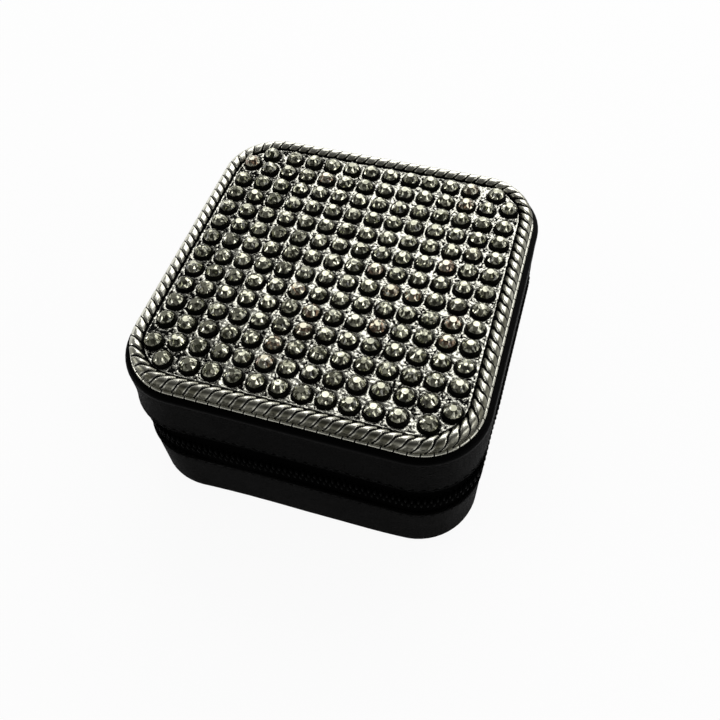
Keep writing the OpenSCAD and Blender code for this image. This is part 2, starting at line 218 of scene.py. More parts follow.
def roundedBox(name, low, high, radius, step, puff=0.0):
    # box with round edges whose big faces may crown a little
    low, high = Vector(low), Vector(high)
    mid, half = (low + high) / 2, (high - low) / 2
    radius = min(radius, *half)
    ticks = []
    for h in half:
        inner = h - radius
        count = max(1, round(2 * inner / step)) if inner > 1e-6 else 0
        flat = [-inner + 2 * inner * k / count for k in range(count + 1)] if count else [0.0]
        curve = [radius * math.tan(math.radians(45 * k / 3)) for k in (1, 2, 3)]
        ticks.append([-(inner + v) for v in reversed(curve)] + flat + [inner + v for v in curve])
    verts, faces, uvs = [], [], []
    for axis in range(3):
        a, b = (axis + 1) % 3, (axis + 2) % 3
        for side in (-1, 1):
            start, rows = len(verts), len(ticks[b])
            for u in ticks[a]:
                for v in ticks[b]:
                    p = Vector((0, 0, 0))
                    p[axis], p[a], p[b] = side * half[axis], u, v
                    core = Vector([max(-(h - radius), min(h - radius, x)) for x, h in zip(p, half)])
                    away = p - core
                    point = core + away.normalized() * radius
                    if puff:
                        u1, v1 = u / half[a], v / half[b]
                        point[axis] += side * puff * (1 - u1 * u1) * (1 - v1 * v1)
                    verts.append(mid + point)
            for i in range(len(ticks[a]) - 1):
                for j in range(rows - 1):
                    k = start + i * rows + j
                    faces.append((k, k + 1, k + rows + 1, k + rows))
                    uvs += [(ticks[a][i + p], ticks[b][j + q]) for p, q in ((0, 0), (0, 1), (1, 1), (1, 0))]
    return closeUp(meshObject(name, verts, faces, uvs), 60)


def lathe(name, profile, centre, segments=32):
    # turns a line of (r, z) round an upright axis; its ends are on the axis
    centre = Vector(centre)
    rings = [p for p in profile if p[0] > 0]
    verts = []
    for k in range(segments):
        turn = 2 * math.pi * k / segments
        verts += [centre + Vector((r * math.cos(turn), r * math.sin(turn), z)) for r, z in rings]
    n = len(rings)
    faces = quads(segments, n, wrapRows=True)
    for i, end in ((0, profile[0]), (n - 1, profile[-1])):
        verts.append(centre + Vector((0, 0, end[1])))
        faces += [(k * n + i, (k + 1) % segments * n + i, len(verts) - 1) for k in range(segments)]
    return closeUp(meshObject(name, verts, faces))


def flatSolid(name, loops, thickness, bevel, corner, across, up):
    # plate cut from outlines of (u, v), with round edges. The first loop is the outline, the rest are holes,
    # and it lies in the plane of across and up, on both sides of corner
    curve = bpy.data.curves.new(name, "CURVE")
    curve.dimensions = "2D"
    curve.fill_mode = "BOTH"
    curve.extrude = thickness / 2 - bevel
    curve.bevel_depth = bevel
    curve.bevel_resolution = 2
    curve.offset = -bevel
    for loop in loops:
        spline = curve.splines.new("POLY")
        spline.points.add(len(loop) - 1)
        for point, (u, v) in zip(spline.points, loop):
            point.co = (u, v, 0, 1)
        spline.use_cyclic_u = True
    made = bpy.data.objects.new(name, curve)
    scene.collection.objects.link(made)
    graph = bpy.context.evaluated_depsgraph_get()
    graph.update()
    mesh = bpy.data.meshes.new_from_object(made.evaluated_get(graph))
    bpy.data.objects.remove(made)
    across, up = Vector(across), Vector(up)
    axes = Matrix((across, up, across.cross(up))).transposed()
    mesh.transform(Matrix.Translation(Vector(corner)) @ axes.to_4x4())
    obj = bpy.data.objects.new(name, mesh)
    scene.collection.objects.link(obj)
    mesh.polygons.foreach_set("use_smooth", [True] * len(mesh.polygons))
    return closeUp(obj, 35)


def roundedLoop(u0, u1, v0, v1, radii, steps):
    # rectangle with its own radius at each corner, from the low corner anticlockwise
    loop = []
    for (u, v, su, sv), r, start in zip(((u0, v0, 1, 1), (u1, v0, -1, 1), (u1, v1, -1, -1), (u0, v1, 1, -1)),
                                        radii, (180, 270, 0, 90)):
        for k in range(steps + 1):
            turn = start + 90 * k / steps
            loop.append((u + su * r + r * cosOf(turn), v + sv * r + r * sinOf(turn)))
    return loop


# node helpers, for shader and geometry trees alike

def node(tree, kind, **settings):
    made = tree.nodes.new(kind)
    for key, value in settings.items():
        setattr(made, key, value)
    return made


def treeOf(*values):
    # the tree that the first socket among the values belongs to
    return next(v.id_data for v in values if isinstance(v, bpy.types.NodeSocket))


def feed(socket, value):
    if isinstance(value, bpy.types.NodeSocket):
        socket.id_data.links.new(value, socket)
    elif value is not None:
        socket.default_value = value


def mathNode(operation, *values):
    made = node(treeOf(*values), "ShaderNodeMath", operation=operation)
    for socket, value in zip(made.inputs, values):
        feed(socket, value)
    return made.outputs[0]


def arithmetic(operation):
    return lambda *values: mathNode(operation, *values)


plus, minus, times, divided = (arithmetic(kind) for kind in ("ADD", "SUBTRACT", "MULTIPLY", "DIVIDE"))
timesPlus, larger, smaller = (arithmetic(kind) for kind in ("MULTIPLY_ADD", "MAXIMUM", "MINIMUM"))


def vectorNode(operation, a, b=None, scale=None):
    made = node(treeOf(a, b), "ShaderNodeVectorMath", operation=operation)
    feed(made.inputs[0], a)
    feed(made.inputs[1], b)
    if scale is not None:
        feed(made.inputs["Scale"], scale)
    return made.outputs["Value" if operation in ("LENGTH", "DOT_PRODUCT", "DISTANCE") else "Vector"]


def xyz(x, y, z=0.0):
    made = node(treeOf(x, y, z), "ShaderNodeCombineXYZ")
    for socket, value in zip(made.inputs, (x, y, z)):
        feed(socket, value)
    return made.outputs[0]


def apart(vector):
    made = node(treeOf(vector), "ShaderNodeSeparateXYZ")
    feed(made.inputs[0], vector)
    return made.outputs


def ramp(value, low, high, toLow=0.0, toHigh=1.0):
    made = node(treeOf(value), "ShaderNodeMapRange", interpolation_type="SMOOTHSTEP")
    for socket, v in zip(made.inputs, (value, low, high, toLow, toHigh)):
        feed(socket, v)
    return made.outputs["Result"]


def mixColor(factor, a, b):
    made = node(treeOf(factor), "ShaderNodeMix", data_type="RGBA")
    for key, value in (("Factor", factor), (6, a), (7, b)):
        feed(made.inputs[key], value)
    return made.outputs[2]


def noiseTexture(vector, scale, detail, rough=0.5):
    made = node(treeOf(vector), "ShaderNodeTexNoise")
    for key, v in (("Vector", vector), ("Scale", scale), ("Detail", detail), ("Roughness", rough)):
        feed(made.inputs[key], v)
    return made.outputs["Fac"]


def voronoi(vector, scale):
    made = node(treeOf(vector), "ShaderNodeTexVoronoi")
    feed(made.inputs["Vector"], vector)
    feed(made.inputs["Scale"], scale)
    return made.outputs


def attribute(tree, name):
    return node(tree, "ShaderNodeAttribute", attribute_name=name).outputs["Fac"]


def blankTree(owner):
    owner.use_nodes = True
    owner.node_tree.nodes.clear()
    return owner.node_tree


# effects that several finishes share

def shaderGroup(name, ins, outs):
    group = bpy.data.node_groups.new(name, "ShaderNodeTree")
    for side, sockets in (("INPUT", ins), ("OUTPUT", outs)):
        for key, value in sockets.items():
            size = len(value) if hasattr(value, "__len__") else 1
            kind = {1: "NodeSocketFloat", 3: "NodeSocketVector", 4: "NodeSocketColor"}[size]
            socket = group.interface.new_socket(key, in_out=side, socket_type=kind)
            socket.default_value = value
    return group, node(group, "NodeGroupInput").outputs, node(group, "NodeGroupOutput").inputs


def useGroup(group, **values):
    made = node(treeOf(*values.values()), "ShaderNodeGroup", node_tree=group)
    for key, value in values.items():
        feed(made.inputs[key], value)
    return made.outputs


relief = {"Height": 0.0, "Tone": 0.0}


def makeCrossGrain():
    # fine pressed lines that cross at a narrow angle, as on cross-grained leather
    sizes = {"Vector": (0, 0, 0), "Period": 0.5 * mm, "Wander": 1.2}
    group, ins, outs = shaderGroup("crossGrain", sizes, relief)
    cell = vectorNode("SCALE", ins["Vector"], scale=divided(1.0, ins["Period"]))
    drift = noiseTexture(cell, 0.22, 2.0)
    heights = []
    for angle in (72, 108):
        turn = math.radians(angle)
        across = vectorNode("DOT_PRODUCT", cell, (math.cos(turn), math.sin(turn), 0.35))
        moved = timesPlus(minus(drift, 0.5), ins["Wander"], across)
        heights.append(mathNode("SINE", times(moved, 2 * math.pi)))
    both = timesPlus(heights[1], 0.45, times(heights[0], 0.75))
    fine = noiseTexture(cell, 1.9, 3.0, 0.6)
    height = timesPlus(fine, 1.4, both)
    feed(outs["Height"], height)
    feed(outs["Tone"], ramp(height, -0.6, 1.9))
    return group


def makeWeave():
    # over and under of a plain weave
    group, ins, outs = shaderGroup("weave", {"Vector": (0, 0, 0), "Pitch": 0.4 * mm}, relief)
    turns = divided(math.pi, ins["Pitch"])
    x, y, _ = apart(vectorNode("SCALE", ins["Vector"], scale=turns))
    warp, weft = (mathNode("ABSOLUTE", mathNode("SINE", v)) for v in (x, y))
    over = times(*(mathNode("SINE", times(v, 0.5)) for v in (x, y)))
    mixed = timesPlus(over, 0.5, times(warp, weft))
    loose = noiseTexture(vectorNode("SCALE", ins["Vector"], scale=turns), 0.15, 2.0)
    feed(outs["Height"], mixed)
    feed(outs["Tone"], timesPlus(mixed, 0.5, times(loose, 0.6)))
    return group


def makeNap():
    # short pile that lies in patches
    group, ins, outs = shaderGroup("nap", {"Vector": (0, 0, 0), "Size": 4 * mm}, relief)
    cell = vectorNode("SCALE", ins["Vector"], scale=divided(1.0, ins["Size"]))
    patch = noiseTexture(cell, 0.6, 3.0, 0.55)
    pile = noiseTexture(cell, 22.0, 2.0, 0.7)
    feed(outs["Height"], timesPlus(patch, 0.6, pile))
    feed(outs["Tone"], timesPlus(pile, 0.35, ramp(patch, 0.3, 0.7, 0.0, 0.65)))
    return group


def makeTarnish():
    # black that fills the low places of a silver casting and wears off the high ones; its darkening input
    # also brings painted shade and painted dark reflections
    group, ins, outs = shaderGroup(
        "tarnish", {"Vector": (0, 0, 0), "Recess": 0.0, "Bright": grey(0.8), "Dark": grey(0.01),
                    "Start": 0.35, "End": 0.7, "Smooth": 0.2, "Rough": 0.5, "Patina": 0.0,
                    "Aged": (0.132, 0.128, 0.092, 1), "Pits": 0.0},
        {"Color": grey(0), "Roughness": 0.0, "Metal": 0.0})
    spots = noiseTexture(ins["Vector"], 1400.0, 3.0, 0.6)
    cloud = noiseTexture(ins["Vector"], 160.0, 3.0, 0.6)
    loose = timesPlus(minus(spots, 0.5), 0.35, ins["Recess"])
    cells = voronoi(ins["Vector"], 1700.0)
    pit = times(ramp(cells["Distance"], 0.42, 0.62), ramp(cloud, 0.38, 0.52))
    loose = timesPlus(times(pit, ins["Pits"]), 0.7, loose)
    mask = ramp(loose, ins["Start"], ins["End"])
    worn = mixColor(times(ramp(cloud, 0.35, 0.7), 0.3), ins["Bright"], (0.5, 0.49, 0.42, 1))
    aged = times(ins["Patina"], ramp(cloud, 0.2, 0.6, 0.6, 1.0))
    worn = mixColor(aged, worn, ins["Aged"])
    feed(outs["Color"], mixColor(mask, worn, ins["Dark"]))
    feed(outs["Roughness"], timesPlus(larger(spots, aged), 0.14,
                                      ramp(mask, 0.0, 1.0, ins["Smooth"], ins["Rough"])))
    feed(outs["Metal"], ramp(mask, 0.2, 0.9, 1.0, 0.0))
    return group


def makeHandling():
    # finger marks and fine dust: a mask that a finish adds to its roughness or its colour
    group, ins, outs = shaderGroup("handling", {"Vector": (0, 0, 0), "Size": 10 * mm},
                                   {"Smear": 0.0, "Dust": 0.0})
    cell = vectorNode("SCALE", ins["Vector"], scale=divided(1.0, ins["Size"]))
    smear = noiseTexture(cell, 1.0, 4.0, 0.6)
    dust = noiseTexture(cell, 70.0, 1.0)
    feed(outs["Smear"], ramp(smear, 0.35, 0.7))
    feed(outs["Dust"], times(ramp(dust, 0.7, 0.78), ramp(smear, 0.45, 0.6)))
    return group


crossGrain, weave, nap = makeCrossGrain(), makeWeave(), makeNap()
tarnish, handling = makeTarnish(), makeHandling()


# finishes

def finish(name, **sockets):
    material = bpy.data.materials.new(name)
    tree = blankTree(material)
    shader = node(tree, "ShaderNodeBsdfPrincipled")
    out = node(tree, "ShaderNodeOutputMaterial")
    feed(out.inputs["Surface"], shader.outputs[0])
    for key, value in sockets.items():
        shader.inputs[key.replace("_", " ")].default_value = value
    return material, tree, shader.inputs


def coords(tree, kind):
    return node(tree, "ShaderNodeTexCoord").outputs[kind]


def bump(ins, height, depth, strength=1.0):
    made = node(treeOf(height), "ShaderNodeBump")
    for key, value in (("Strength", strength), ("Distance", depth), ("Height", height)):
        feed(made.inputs[key], value)
    feed(ins["Normal"], made.outputs[0])


def leatherFinish(name, kind, look):
    material, tree, ins = finish(name, Specular_IOR_Level=look["gloss"], Sheen_Weight=0.0)
    where = coords(tree, kind)
    grain = useGroup(crossGrain, Vector=where, Period=look["period"], Wander=look["wander"])
    marks = useGroup(handling, Vector=where, Size=0.012)
    tone = mixColor(grain["Tone"], look["low"], look["high"])
    feed(ins["Base Color"], mixColor(times(marks["Dust"], 0.5), tone, look["dust"]))
    rough = ramp(grain["Tone"], 0.0, 1.0, look["rough"] + 0.12, look["rough"])
    feed(ins["Roughness"], timesPlus(marks["Smear"], 0.06, rough))
    bump(ins, grain["Height"], look["depth"])
    return material


leatherLook = {"period": 0.62 * mm, "wander": 2.4, "depth": 0.13 * mm, "gloss": 0.009, "rough": 0.38,
               "low": grey(0.0002), "high": (0.0045, 0.0045, 0.0043, 1), "dust": (0.05, 0.05, 0.047, 1)}
leatherBlack = leatherFinish("leatherBlack", "UV", leatherLook)
leatherTrim = leatherFinish("leatherTrim", "Object", leatherLook)
glossLook = {**leatherLook, "period": 0.5 * mm, "depth": 0.012 * mm, "rough": 0.3, "gloss": 0.02,
             "low": grey(0.0006), "high": grey(0.002)}
leatherGloss = leatherFinish("leatherGloss", "UV", glossLook)


def clothFinish(name, kind, group, size, low, high, rough, depth, sheen=0.0, tint=grey(1), gloss=0.2):
    material, tree, ins = finish(name, Roughness=rough, Specular_IOR_Level=gloss, Sheen_Weight=sheen,
                                 Sheen_Roughness=0.4, Sheen_Tint=tint)
    where = coords(tree, kind)
    cloth = useGroup(group, Vector=where, **size)
    feed(ins["Base Color"], mixColor(cloth["Tone"], low, high))
    feed(ins["Roughness"], ramp(cloth["Tone"], 0.0, 1.0, rough + 0.08, rough - 0.08))
    bump(ins, cloth["Height"], depth)
    return material


zipWeave = clothFinish("zipWeave", "UV", weave, {"Pitch": 0.45 * mm}, grey(0.0006), grey(0.0012), 0.8,
                       0.06 * mm, gloss=0.003)
clothLow, clothHigh = (0.02, 0.02, 0.022, 1), (0.055, 0.055, 0.06, 1)
velvet = clothFinish("velvet", "Object", nap, {"Size": 4 * mm}, clothLow, clothHigh, 0.9, 0.05 * mm,
                     0.6, (0.75, 0.75, 0.8, 1))
pocketSatin = clothFinish("pocketSatin", "Object", weave, {"Pitch": 0.25 * mm}, clothLow, clothHigh, 0.6,
                          0.02 * mm, 0.3, (0.8, 0.8, 0.85, 1))
elasticKnit = clothFinish("elasticKnit", "UV", weave, {"Pitch": 0.5 * mm}, grey(0.004),
                          (0.02, 0.02, 0.021, 1), 0.75, 0.12 * mm)
thread = clothFinish("thread", "Object", weave, {"Pitch": 0.22 * mm}, grey(0.002), grey(0.01), 0.6,
                     0.03 * mm, gloss=0.1)
greyboard = clothFinish("greyboard", "Object", nap, {"Size": 2 * mm}, (0.2, 0.18, 0.15, 1),
                        (0.34, 0.31, 0.26, 1), 0.9, 0.03 * mm)
foamPad = clothFinish("foamPad", "Object", nap, {"Size": 1.2 * mm}, grey(0.01), grey(0.04), 0.95, 0.12 * mm)


def enamelFinish(name, low, high, rough, gloss, coat=0.0):
    material, tree, ins = finish(name, Specular_IOR_Level=gloss, Coat_Weight=coat, Coat_Roughness=0.15)
    where = coords(tree, "Object")
    marks = useGroup(handling, Vector=where, Size=0.006)
    feed(ins["Base Color"], mixColor(marks["Smear"], low, high))
    feed(ins["Roughness"], timesPlus(marks["Smear"], 0.12, rough))
    bump(ins, noiseTexture(where, 900.0, 3.0), 0.02 * mm, 0.5)
    return material


coilNylon = enamelFinish("coilNylon", grey(0.0006), grey(0.0012), 0.34, 0.007)
blackEnamel = enamelFinish("blackEnamel", (0.012, 0.012, 0.013, 1), (0.024, 0.024, 0.026, 1), 0.28, 0.5, 0.4)
cupBlack = enamelFinish("cupBlack", (0.0015, 0.0015, 0.001, 1), (0.006, 0.006, 0.004, 1), 0.45, 0.06)


def castFinish(name, look, grainScale, grainDepth):
    # cast silver whose darkening attribute says how low each point lies, and where shade and dark reflections
    # are painted on
    material, tree, ins = finish(name, Specular_IOR_Level=0.04)
    where = coords(tree, "Object")
    silver = useGroup(tarnish, Vector=where, Recess=attribute(tree, "blackening"),
                      Patina=attribute(tree, "patina"), **look)
    for key, value in (("Base Color", "Color"), ("Roughness", "Roughness"), ("Metallic", "Metal")):
        feed(ins[key], silver[value])
    bump(ins, noiseTexture(where, grainScale, 4.0, 0.6), grainDepth)
    return material


ropeSilver = castFinish("ropeSilver", {"Bright": (0.84, 0.83, 0.72, 1), "Dark": grey(0.0015),
                                       "Start": 0.34, "End": 0.6, "Smooth": 0.2, "Rough": 0.6},
                        700.0, 0.04 * mm)
groundSilver = castFinish("groundSilver", {"Bright": (0.63, 0.625, 0.545, 1), "Dark": grey(0.0015),
                                           "Start": 0.45, "End": 0.72, "Smooth": 0.18, "Rough": 0.5,
                                           "Pits": 0.6},
                          1700.0, 0.07 * mm)


def stoneFinish():
    # foiled glass: a clear coat on the cut facets over a broken mirror of small inner ones
    material, tree, ins = finish("smokyStone", Metallic=0.9, Roughness=0.1, Specular_IOR_Level=0.1,
                                 Coat_Weight=1.0, Coat_Roughness=0.03, Coat_IOR=1.5)
    facets = voronoi(coords(tree, "Object"), 1 / (0.85 * mm))
    tilt = vectorNode("SUBTRACT", facets["Color"], (0.5, 0.5, 0.5))
    flat = node(tree, "ShaderNodeNewGeometry").outputs["Normal"]
    table = attribute(tree, "table")
    tilt = vectorNode("SCALE", tilt, scale=timesPlus(table, -0.18, 0.29))
    feed(ins["Normal"], vectorNode("NORMALIZE", vectorNode("ADD", flat, tilt)))
    tint = attribute(tree, "tint")
    smoke = mixColor(ramp(tint, 0.0, 1.0), (0.05, 0.052, 0.026, 1), (0.12, 0.121, 0.077, 1))
    warm = mixColor(ramp(tint, 0.86, 0.97), smoke, (0.2, 0.13, 0.08, 1))
    # painted highlight: each stone's table facet mirrors lighter than its other facets, by an amount of its
    # own
    paintedTableShine = ramp(mathNode("FRACT", times(tint, 7.0)), 0.0, 1.0, 0.25, 0.85)
    bright = apart(facets["Color"])[0]
    bright = larger(ramp(bright, 0.3, 0.85), times(table, paintedTableShine))
    feed(ins["Base Color"], mixColor(bright, warm, (0.58, 0.575, 0.44, 1)))
    return material


smokyStone = stoneFinish()
print("stage: finishes made")


# geometry trees

def geometryTree(name, sizes):
    # tree with a geometry in and out, and the named sizes as inputs
    tree = bpy.data.node_groups.new(name, "GeometryNodeTree")
    tree.interface.new_socket("Geometry", in_out="OUTPUT", socket_type="NodeSocketGeometry")
    tree.interface.new_socket("Geometry", in_out="INPUT", socket_type="NodeSocketGeometry")
    for key, value in sizes.items():
        kind = {int: "NodeSocketInt", float: "NodeSocketFloat"}.get(type(value), "NodeSocketObject")
        tree.interface.new_socket(key, in_out="INPUT", socket_type=kind)
    return tree, node(tree, "NodeGroupInput").outputs, node(tree, "NodeGroupOutput")


def closeTree(tree, out, geometry, material, smooth=True):
    realized = through(tree, "GeometryNodeRealizeInstances", geometry)
    shaded = through(tree, "GeometryNodeSetShadeSmooth", realized, Shade_Smooth=smooth)
    feed(out.inputs[0], through(tree, "GeometryNodeSetMaterial", shaded, Material=material))


def grow(name, tree, sizes, start=None):
    # runs a tree on an object and keeps the mesh that it makes
    obj = start or meshObject(name, [], [])
    obj.name = name
    modifier = obj.modifiers.new("made", "NODES")
    modifier.node_group = tree
    for item in tree.interface.items_tree:
        if item.in_out == "INPUT" and item.name in sizes:
            modifier[item.identifier] = sizes[item.name]
    return applied(obj)


def through(tree, kind, geometry, **inputs):
    # one geometry node after another: what goes in by name, and its first output back
    settings = {k: v for k, v in inputs.items() if k[0].islower()}
    made = node(tree, kind, **settings)
    if geometry is not None:
        feed(made.inputs[0], geometry)
    for key, value in inputs.items():
        if key not in settings:
            feed(made.inputs[key.replace("_", " ")], value)
    return made.outputs[0]


def store(geometry, name, value, domain="POINT", kind="FLOAT"):
    made = node(treeOf(geometry), "GeometryNodeStoreNamedAttribute", data_type=kind, domain=domain)
    for key, v in (("Name", name), ("Geometry", geometry), ("Value", value)):
        feed(made.inputs[key], v)
    return made.outputs[0]


def named(tree, name, kind="FLOAT"):
    made = node(tree, "GeometryNodeInputNamedAttribute", data_type=kind)
    feed(made.inputs["Name"], name)
    return made.outputs[0]


def lineObject(name, points, closed=False):
    obj = meshObject(name, [], [])
    edges = [(i, i + 1) for i in range(len(points) - 1)] + ([(len(points) - 1, 0)] if closed else [])
    obj.data.from_pydata(points, edges, [])
    return obj


def trackObject(name, radius, z, gap=0.0, shift=0.0):
    # the line that a row of stitches or teeth follows
    path = roundPath(radius, gap, shift, 2 * mm, 20)
    if gap == 0.0:
        path = path[:-1]
    points = [base + out * (radius + settled(along, z)) + Vector((0, 0, z)) for base, out, along in path]
    return lineObject(name, points, gap == 0.0)


def rowTree(name, sizes, makeUnit, material):
    # a row of like pieces along a line, each with its x along the line and its z up
    tree, ins, out = geometryTree(name, {"Pitch": 1.0, **sizes})
    line = through(tree, "GeometryNodeMeshToCurve", ins["Geometry"])
    points = through(tree, "GeometryNodeResampleCurve", line, mode="LENGTH", Length=ins["Pitch"])
    turn = through(tree, "FunctionNodeAlignRotationToVector", None, axis="X", pivot_axis="Z",
                   Vector=through(tree, "GeometryNodeInputTangent", None))
    rows = through(tree, "GeometryNodeInstanceOnPoints", points, Instance=makeUnit(tree, ins), Rotation=turn)
    closeTree(tree, out, rows, material)
    return tree


def stitchUnit(tree, ins):
    bead = through(tree, "GeometryNodeMeshUVSphere", None, Segments=8, Rings=5, Radius=1.0)
    size = xyz(times(ins["Length"], 0.5), ins["Thick"], ins["Thick"])
    return through(tree, "GeometryNodeTransform", bead, Scale=size)


def toothUnit(tree, ins):
    # one turn of the nylon spiral: an upright loop
    loop = through(tree, "GeometryNodeCurvePrimitiveCircle", None, Resolution=10, Radius=1.0)
    upright = through(tree, "GeometryNodeTransform", loop, Rotation=(0, math.pi / 2, 0))
    shaped = through(tree, "GeometryNodeTransform", upright, Scale=xyz(1.0, ins["Deep"], ins["High"]))
    wire = through(tree, "GeometryNodeCurvePrimitiveCircle", None, Resolution=5, Radius=ins["Wire"])
    return through(tree, "GeometryNodeCurveToMesh", shaped, Profile_Curve=wire)


# the black leather: two walls, the bottom, the top and the gloss binding

leather = {"fold": 0.4 * mm, "bottomR": 1.1 * mm, "crease": 1.15 * mm, "creaseDeep": 0.24 * mm,
           "wave": 0.16 * mm, "stitch": 2.3 * mm, "stitchPitch": 2.9 * mm, "stitchThick": 0.17 * mm}
# places along the walls are lengths from the back's middle, anticlockwise
sag = {"leftAt": 138 * mm, "leftFull": 0.8 * mm, "leftTop": 41.5 * mm, "leftFade": 7 * mm,
       "rightAt": 230 * mm, "rightTight": 0.6 * mm, "spread": 17 * mm,
       "sideFrom": 222 * mm, "sideTo": 318 * mm, "sideIn": 8 * mm, "sideOut": 14 * mm, "sideTight": 0.45 * mm,
       "zipFull": 0.3 * mm, "zipHalf": 3 * mm, "footTop": 20 * mm, "footFade": 12 * mm}


def share(value):
    return min(1, max(0, value))


def settled(along, z):
    # the case isn't quite true: full at the front left corner, tight at the foot of the front right one
    left, right = (math.exp(-((along - at) / sag["spread"]) ** 2) for at in (sag["leftAt"], sag["rightAt"]))
    full = share((sag["leftTop"] - z) / sag["leftFade"]) * sag["leftFull"]
    side = share((along - sag["sideFrom"]) / sag["sideIn"]) * share((sag["sideTo"] - along) / sag["sideOut"])
    low = share((sag["footTop"] - z) / sag["footFade"])
    tight = max(right * sag["rightTight"], side * sag["sideTight"]) * low
    atZip = side * sag["zipFull"] * (abs(z - case["split"]) < sag["zipHalf"])
    return left * full - tight + atZip


def wallWave(along, r, z):
    # leather over board is never quite flat
    if r < case["cornerR"] - 0.6 * mm:
        return 0.0
    slow = noise.noise(Vector((along * 55, z * 40, 1.7)))
    fine = noise.noise(Vector((along * 260, z * 190, 5.1)))
    return leather["wave"] * (slow * 0.8 + fine * 0.25) - leather["wave"] * 0.4 + settled(along, z)


def wallProfile(edge, other, foot=0.0):
    # from the folded edge beside the zip to the other end, along the outside and back up the inside
    r, inner = case["cornerR"], case["boardR"]
    way = 1 if other > edge else -1
    fold, crease, deep = leather["fold"], leather["crease"], leather["creaseDeep"]
    # how far out each point of the fold and the crease lies, and how far from the edge
    turned = [(inner - r, fold), (inner + 0.1 * mm - r, 0.12 * mm), (inner + 0.35 * mm - r, 0.0),
              (-0.25 * mm, 0.0), (-0.02 * mm, 0.1 * mm), (0.1 * mm, fold * 0.8), (0.13 * mm, fold * 1.4),
              (0.04 * mm, crease - 0.3 * mm), (-deep * 0.8, crease - 0.1 * mm), (-deep, crease + 0.04 * mm),
              (-0.05 * mm, crease + 0.3 * mm), (0.0, crease + 0.7 * mm)]
    points = [(r + out, edge + way * up) for out, up in turned]
    first = points[-1][1]
    span = other + foot - first
    points += [(r, first + span * k / 8) for k in range(1, 9)]
    if foot:
        points += [(r - foot + foot * cosOf(a), other + foot - foot * sinOf(a)) for a in (22, 45, 67, 90)]
    return points + [(inner, other)]


lidWall = sweepRound("lidLeatherWall", wallProfile(case["lidEdge"], case["bindingZ"]), wobble=wallWave)
place(lidWall, "lid", "leather", leatherBlack, "lid_leather")
baseWall = sweepRound("baseLeatherWall", wallProfile(case["baseTop"], 0.2 * mm, leather["bottomR"]),
                      wobble=wallWave)
place(baseWall, "base", "leather", leatherBlack, "base_leather")

# the bottom sheet's section: how far in from the board's edge, and how high, in mm
bottomPoints = ((0.02, 1.0), (0.02, 0.45), (0.15, 0.15), (0.5, 0.02), (2.2, 0.0), (2.5, 0.14), (2.8, 0.02),
                (6, 0.0))
bottomProfile = [(case["boardR"] - a * mm, z * mm) for a, z in bottomPoints]
bottomSheet = sweepRound("bottomLeather", bottomProfile, capped=True)
place(bottomSheet, "base", "leather", leatherTrim, "bottom_leather")

binding = {"r": 1.0 * mm, "in": 3 * mm, "thick": 1.0 * mm}
r, top, edgeR = case["cornerR"], case["top"], binding["r"]
innerR, under = r - binding["in"], top - binding["thick"]
bindingProfile = [(innerR, under), (r - edgeR, under), (r - edgeR, case["bindingZ"]),
                  (r - 0.2 * mm, case["bindingZ"]), (r, case["bindingZ"] + 0.15 * mm)]
bindingProfile += [(r - edgeR + edgeR * cosOf(a), top - edgeR + edgeR * sinOf(a))
                   for a in range(0, 91, 18)]
bindingProfile += [(innerR + 0.2 * mm, top), (innerR, top - 0.15 * mm)]
place(sweepRound("glossBinding", bindingProfile), "lid", "binding", leatherGloss, "lid_binding")
topSheet = sweepRound("lidTopLeather", [(innerR - 0.02 * mm, under), (innerR - 0.02 * mm, top - 0.1 * mm),
                                        (innerR - 0.15 * mm, top), (innerR - 2 * mm, top)], capped=True)
place(topSheet, "lid", "leather", leatherTrim, "lid_top_leather")

stitchTree = rowTree("stitchRow", {"Length": 1.0, "Thick": 1.0}, stitchUnit, thread)
stitchSizes = {"Pitch": leather["stitchPitch"], "Length": leather["stitch"], "Thick": leather["stitchThick"]}
for name, body, z in (("lidStitches", "lid", case["lidEdge"] + leather["crease"]),
                      ("baseStitches", "base", case["baseTop"] - leather["crease"])):
    row = grow(name, stitchTree, stitchSizes, trackObject(name, case["cornerR"] - 0.14 * mm, z))
    place(row, body, "leather", None)
print("stage: leather and stitches")


# the zip: two tapes, two halves of the spiral that reach into each other, and four stops

